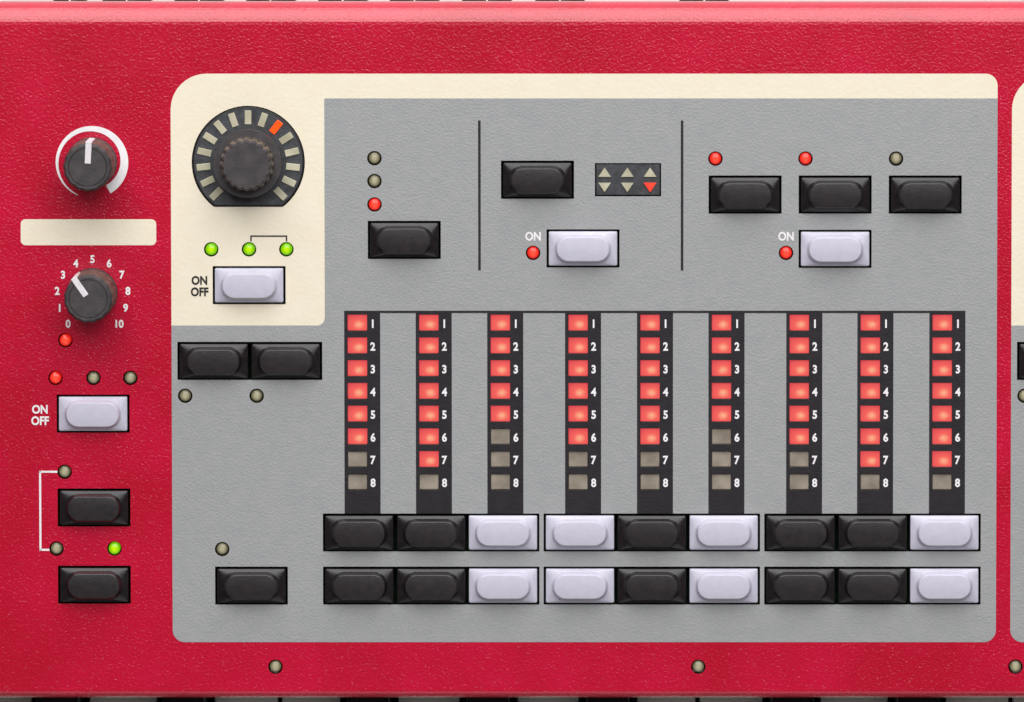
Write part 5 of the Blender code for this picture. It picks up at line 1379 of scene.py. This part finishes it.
# Name, place, size and power of each lamp
SOFTBOXES = (("overhead_softbox", (-0.15, 0.93, 1.53), (2.0, 1.3), 30.0),
             ("rear_softbox", (-0.2, 3.20, 1.45), (4.4, 1.9), 94.0),
             ("front_fill", (-0.1, -1.6, 1.4), (1.8, 1.2), 5.0))
LIGHT_AIM = Vector((-0.26, 0.09, 0.1))
ROOM_COLOUR, ROOM_STRENGTH = "f4f2f0", 0.07


def set_light():
    """Two large soft lamps behind the instrument, a weak one before it, and a dim pale room."""
    for name, place, size, power in SOFTBOXES:
        lamp = bpy.data.lights.new(name, "AREA")
        lamp.shape = "RECTANGLE"
        lamp.size, lamp.size_y = size
        lamp.energy = power
        holder = bpy.data.objects.new(name, lamp)
        holder.location = place
        holder.rotation_euler = (LIGHT_AIM - Vector(place)).to_track_quat("-Z", "Y").to_euler()
        bpy.context.scene.collection.objects.link(holder)
    world = bpy.data.worlds.new("pale_room")
    bpy.context.scene.world = world
    world.use_nodes = True
    feed(world.node_tree.nodes["Background"],
         {"Color": linear(ROOM_COLOUR), "Strength": ROOM_STRENGTH})


def lay_floor():
    """Pale matt floor far past the instrument."""
    deselect()
    bpy.ops.mesh.primitive_plane_add(size=8.0, location=(0, 0, 0))
    floor = bpy.context.object
    floor.name = "floor"
    paint(floor, grained("pale_floor", "d9d7d4", "e2e0dd", 0.02, 0.0001, 0.7))


# Putting it together

# Name, left and right edge and width of the cream column
SECTIONS = (("organ", 0.0383, 0.2218, 0.0341), ("piano", 0.2250, 0.5248, 0.0341),
            ("synth", 0.5280, 0.7040, 0.0341), ("effects", 0.7072, 0.8680, 0))
POINTER_TURNS = (("master_knob", MASTER_KNOB, math.radians(-3)),
                 ("drive_knob", DRIVE_KNOB, math.radians(34.6)))
WHEEL_TURNS = {"pitch_wheel": 0, "mod_wheel": math.radians(28)}
WHEEL_DEPTH = 0.014
FOOT_FROM_END = 0.035
FOOT_FROM_SIDE = 0.09


def lay_panel():
    """The folded panel and all that is printed on it."""
    openings = deck_openings()
    mount(red_panel(openings), "red", "top_panel")
    prints = []
    for name, left, right, column in SECTIONS:
        prints += section_plate(name, left, right, column, openings)
    prints.append(ink_patch("rotary_field", (0.0049, 0.1015), (0.0350, 0.1073), CREAM_INK, 0,
                            (0.0011,) * 4, openings))
    prints += [black_prints(openings), white_prints(openings), dark_letters()]
    for piece in prints:
        mount(settle(piece), "red")
    bpy.data.objects.remove(openings)


def lay_caps():
    """A cap on each button, and those on the right that stay still."""
    pattern = cap_pattern()
    buttons = [(name, place, name in WHITE_BUTTONS) for name, place in BUTTONS.items()]
    for name, (u, v), white in buttons + drawbar_buttons():
        cap = coloured(another(pattern, f"{name}_cap", at(u, v)), white)
        fit(cap, name, [name])
    places = [at(u + (slot - (count - 1) / 2) * CAP_PITCH, v)
              for (u, v), count in fixed_rows() for slot in range(count)]
    still = [coloured(another(pattern, "still_cap", place), False) for place in places]
    mount(joined("still_caps", still), "black_cap", "control_board")
    bpy.data.objects.remove(pattern)


def lay_lamps():
    """Round lamps by their state, and the windows of the drawbars."""
    pattern = lamp_pattern()
    for state, epoxy in ((UNLIT, LENS_UNLIT_PAINTED_HIGHLIGHT), (RED, LENS_RED), (GREEN, LENS_GREEN)):
        lamps = joined(f"{state}_lamps", [another(pattern, "lamp", at(u, v))
                                          for u, v, kind in LAMPS if kind == state])
        mount(paint(lamps, epoxy), "board", "control_board")
    bpy.data.objects.remove(pattern)
    for name, lit, diffuser in (("lit_windows", True, WINDOW_LIT),
                                ("unlit_windows", False, WINDOW_DARK)):
        lenses = window_lenses(name, [place for place, shines in window_middles()
                                      if shines == lit], diffuser)
        mount(settle(lenses), "board", "control_board")


def lay_knobs():
    """Two pointer knobs, the level knob, the ones that stay still, and the lamp ring."""
    small = knob_pattern(0.0056, 0.0030, 0.0055, 0.0053, KNOB_TOP, KNOB_SIDE, groove=0.0042)
    for name, (u, v), turn in POINTER_TURNS:
        knob = pointed(small, f"{name}_grip", 0.0052)
        knob.data.transform(at(u, v, 0, turn))
        fit(knob, name, [name])
    low = knob_pattern(0.00755, 0.0050, 0.0060, 0.0057, 0.0095, KNOB_TAN_SIDE, lobes=20,
                       lobe_depth=0.075)
    fit(another(low, "level_knob_grip", at(*LEVEL_KNOB)), "level_knob", ["level_knob"])
    still = [another(pattern, "still_knob", at(u, v))
             for pattern, places in ((small, FIXED_KNOBS), (low, fixed_levels()))
             for u, v in places]
    mount(joined("still_knobs", still), "knob", "control_board")
    bpy.data.objects.remove(small)
    bpy.data.objects.remove(low)
    mount(settle(ring_bezel(), at(*LEVEL_KNOB)), "smoke", "level_ring_bezel")
    for piece in ring_segments():
        mount(settle(piece, at(*LEVEL_KNOB, BEZEL_LIGHT_LIFT)), "smoke", "level_ring_bezel")
    for piece in indicator():
        mount(settle(piece, at(*INDICATOR)), "board", "control_board")


def lay_casing():
    """Tray, end cheeks, feet and wheels."""
    mount(bottom_tray(), "red", "bottom_tray")
    for name, side in (("left_cheek", -1), ("right_cheek", 1)):
        end = cheek(side)
        end.name = f"{name}_lacquered"
        mount(end, "cheek", name)
    foot = foot_pattern()
    for end, y in (("front", FRONT_Y + FOOT_FROM_END), ("rear", REAR_WALL_Y - FOOT_FROM_END)):
        for side, way in (("left", -1), ("right", 1)):
            place = Matrix.Translation((way * (PANEL_HALF - FOOT_FROM_SIDE), y, 0))
            mount(another(foot, f"{end}_{side}_foot_rubber", place), "rubber",
                  f"{end}_{side}_foot")
    bpy.data.objects.remove(foot)
    wheel = wheel_pattern()
    for name, (u, v) in WHEELS.items():
        place = at(u, v, -WHEEL_DEPTH) @ Matrix.Rotation(WHEEL_TURNS[name], 4, "X")
        fit(another(wheel, f"{name}_thumb", place), name, [name])
    bpy.data.objects.remove(wheel)
    mount(settle(wheel_tabs()), "red", "top_panel")


set_camera()
set_light()
lay_floor()
lay_panel()
lay_caps()
lay_lamps()
lay_knobs()
lay_keys()
lay_casing()
lay_sockets()
mount(settle(control_board()), "board", "control_board")
mount(settle(display_window()), "board", "control_board")
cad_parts["main_board"].data.materials.clear()
paint(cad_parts["main_board"], SOLDER_MASK)

bpy.context.scene.view_settings.view_transform = "Standard"
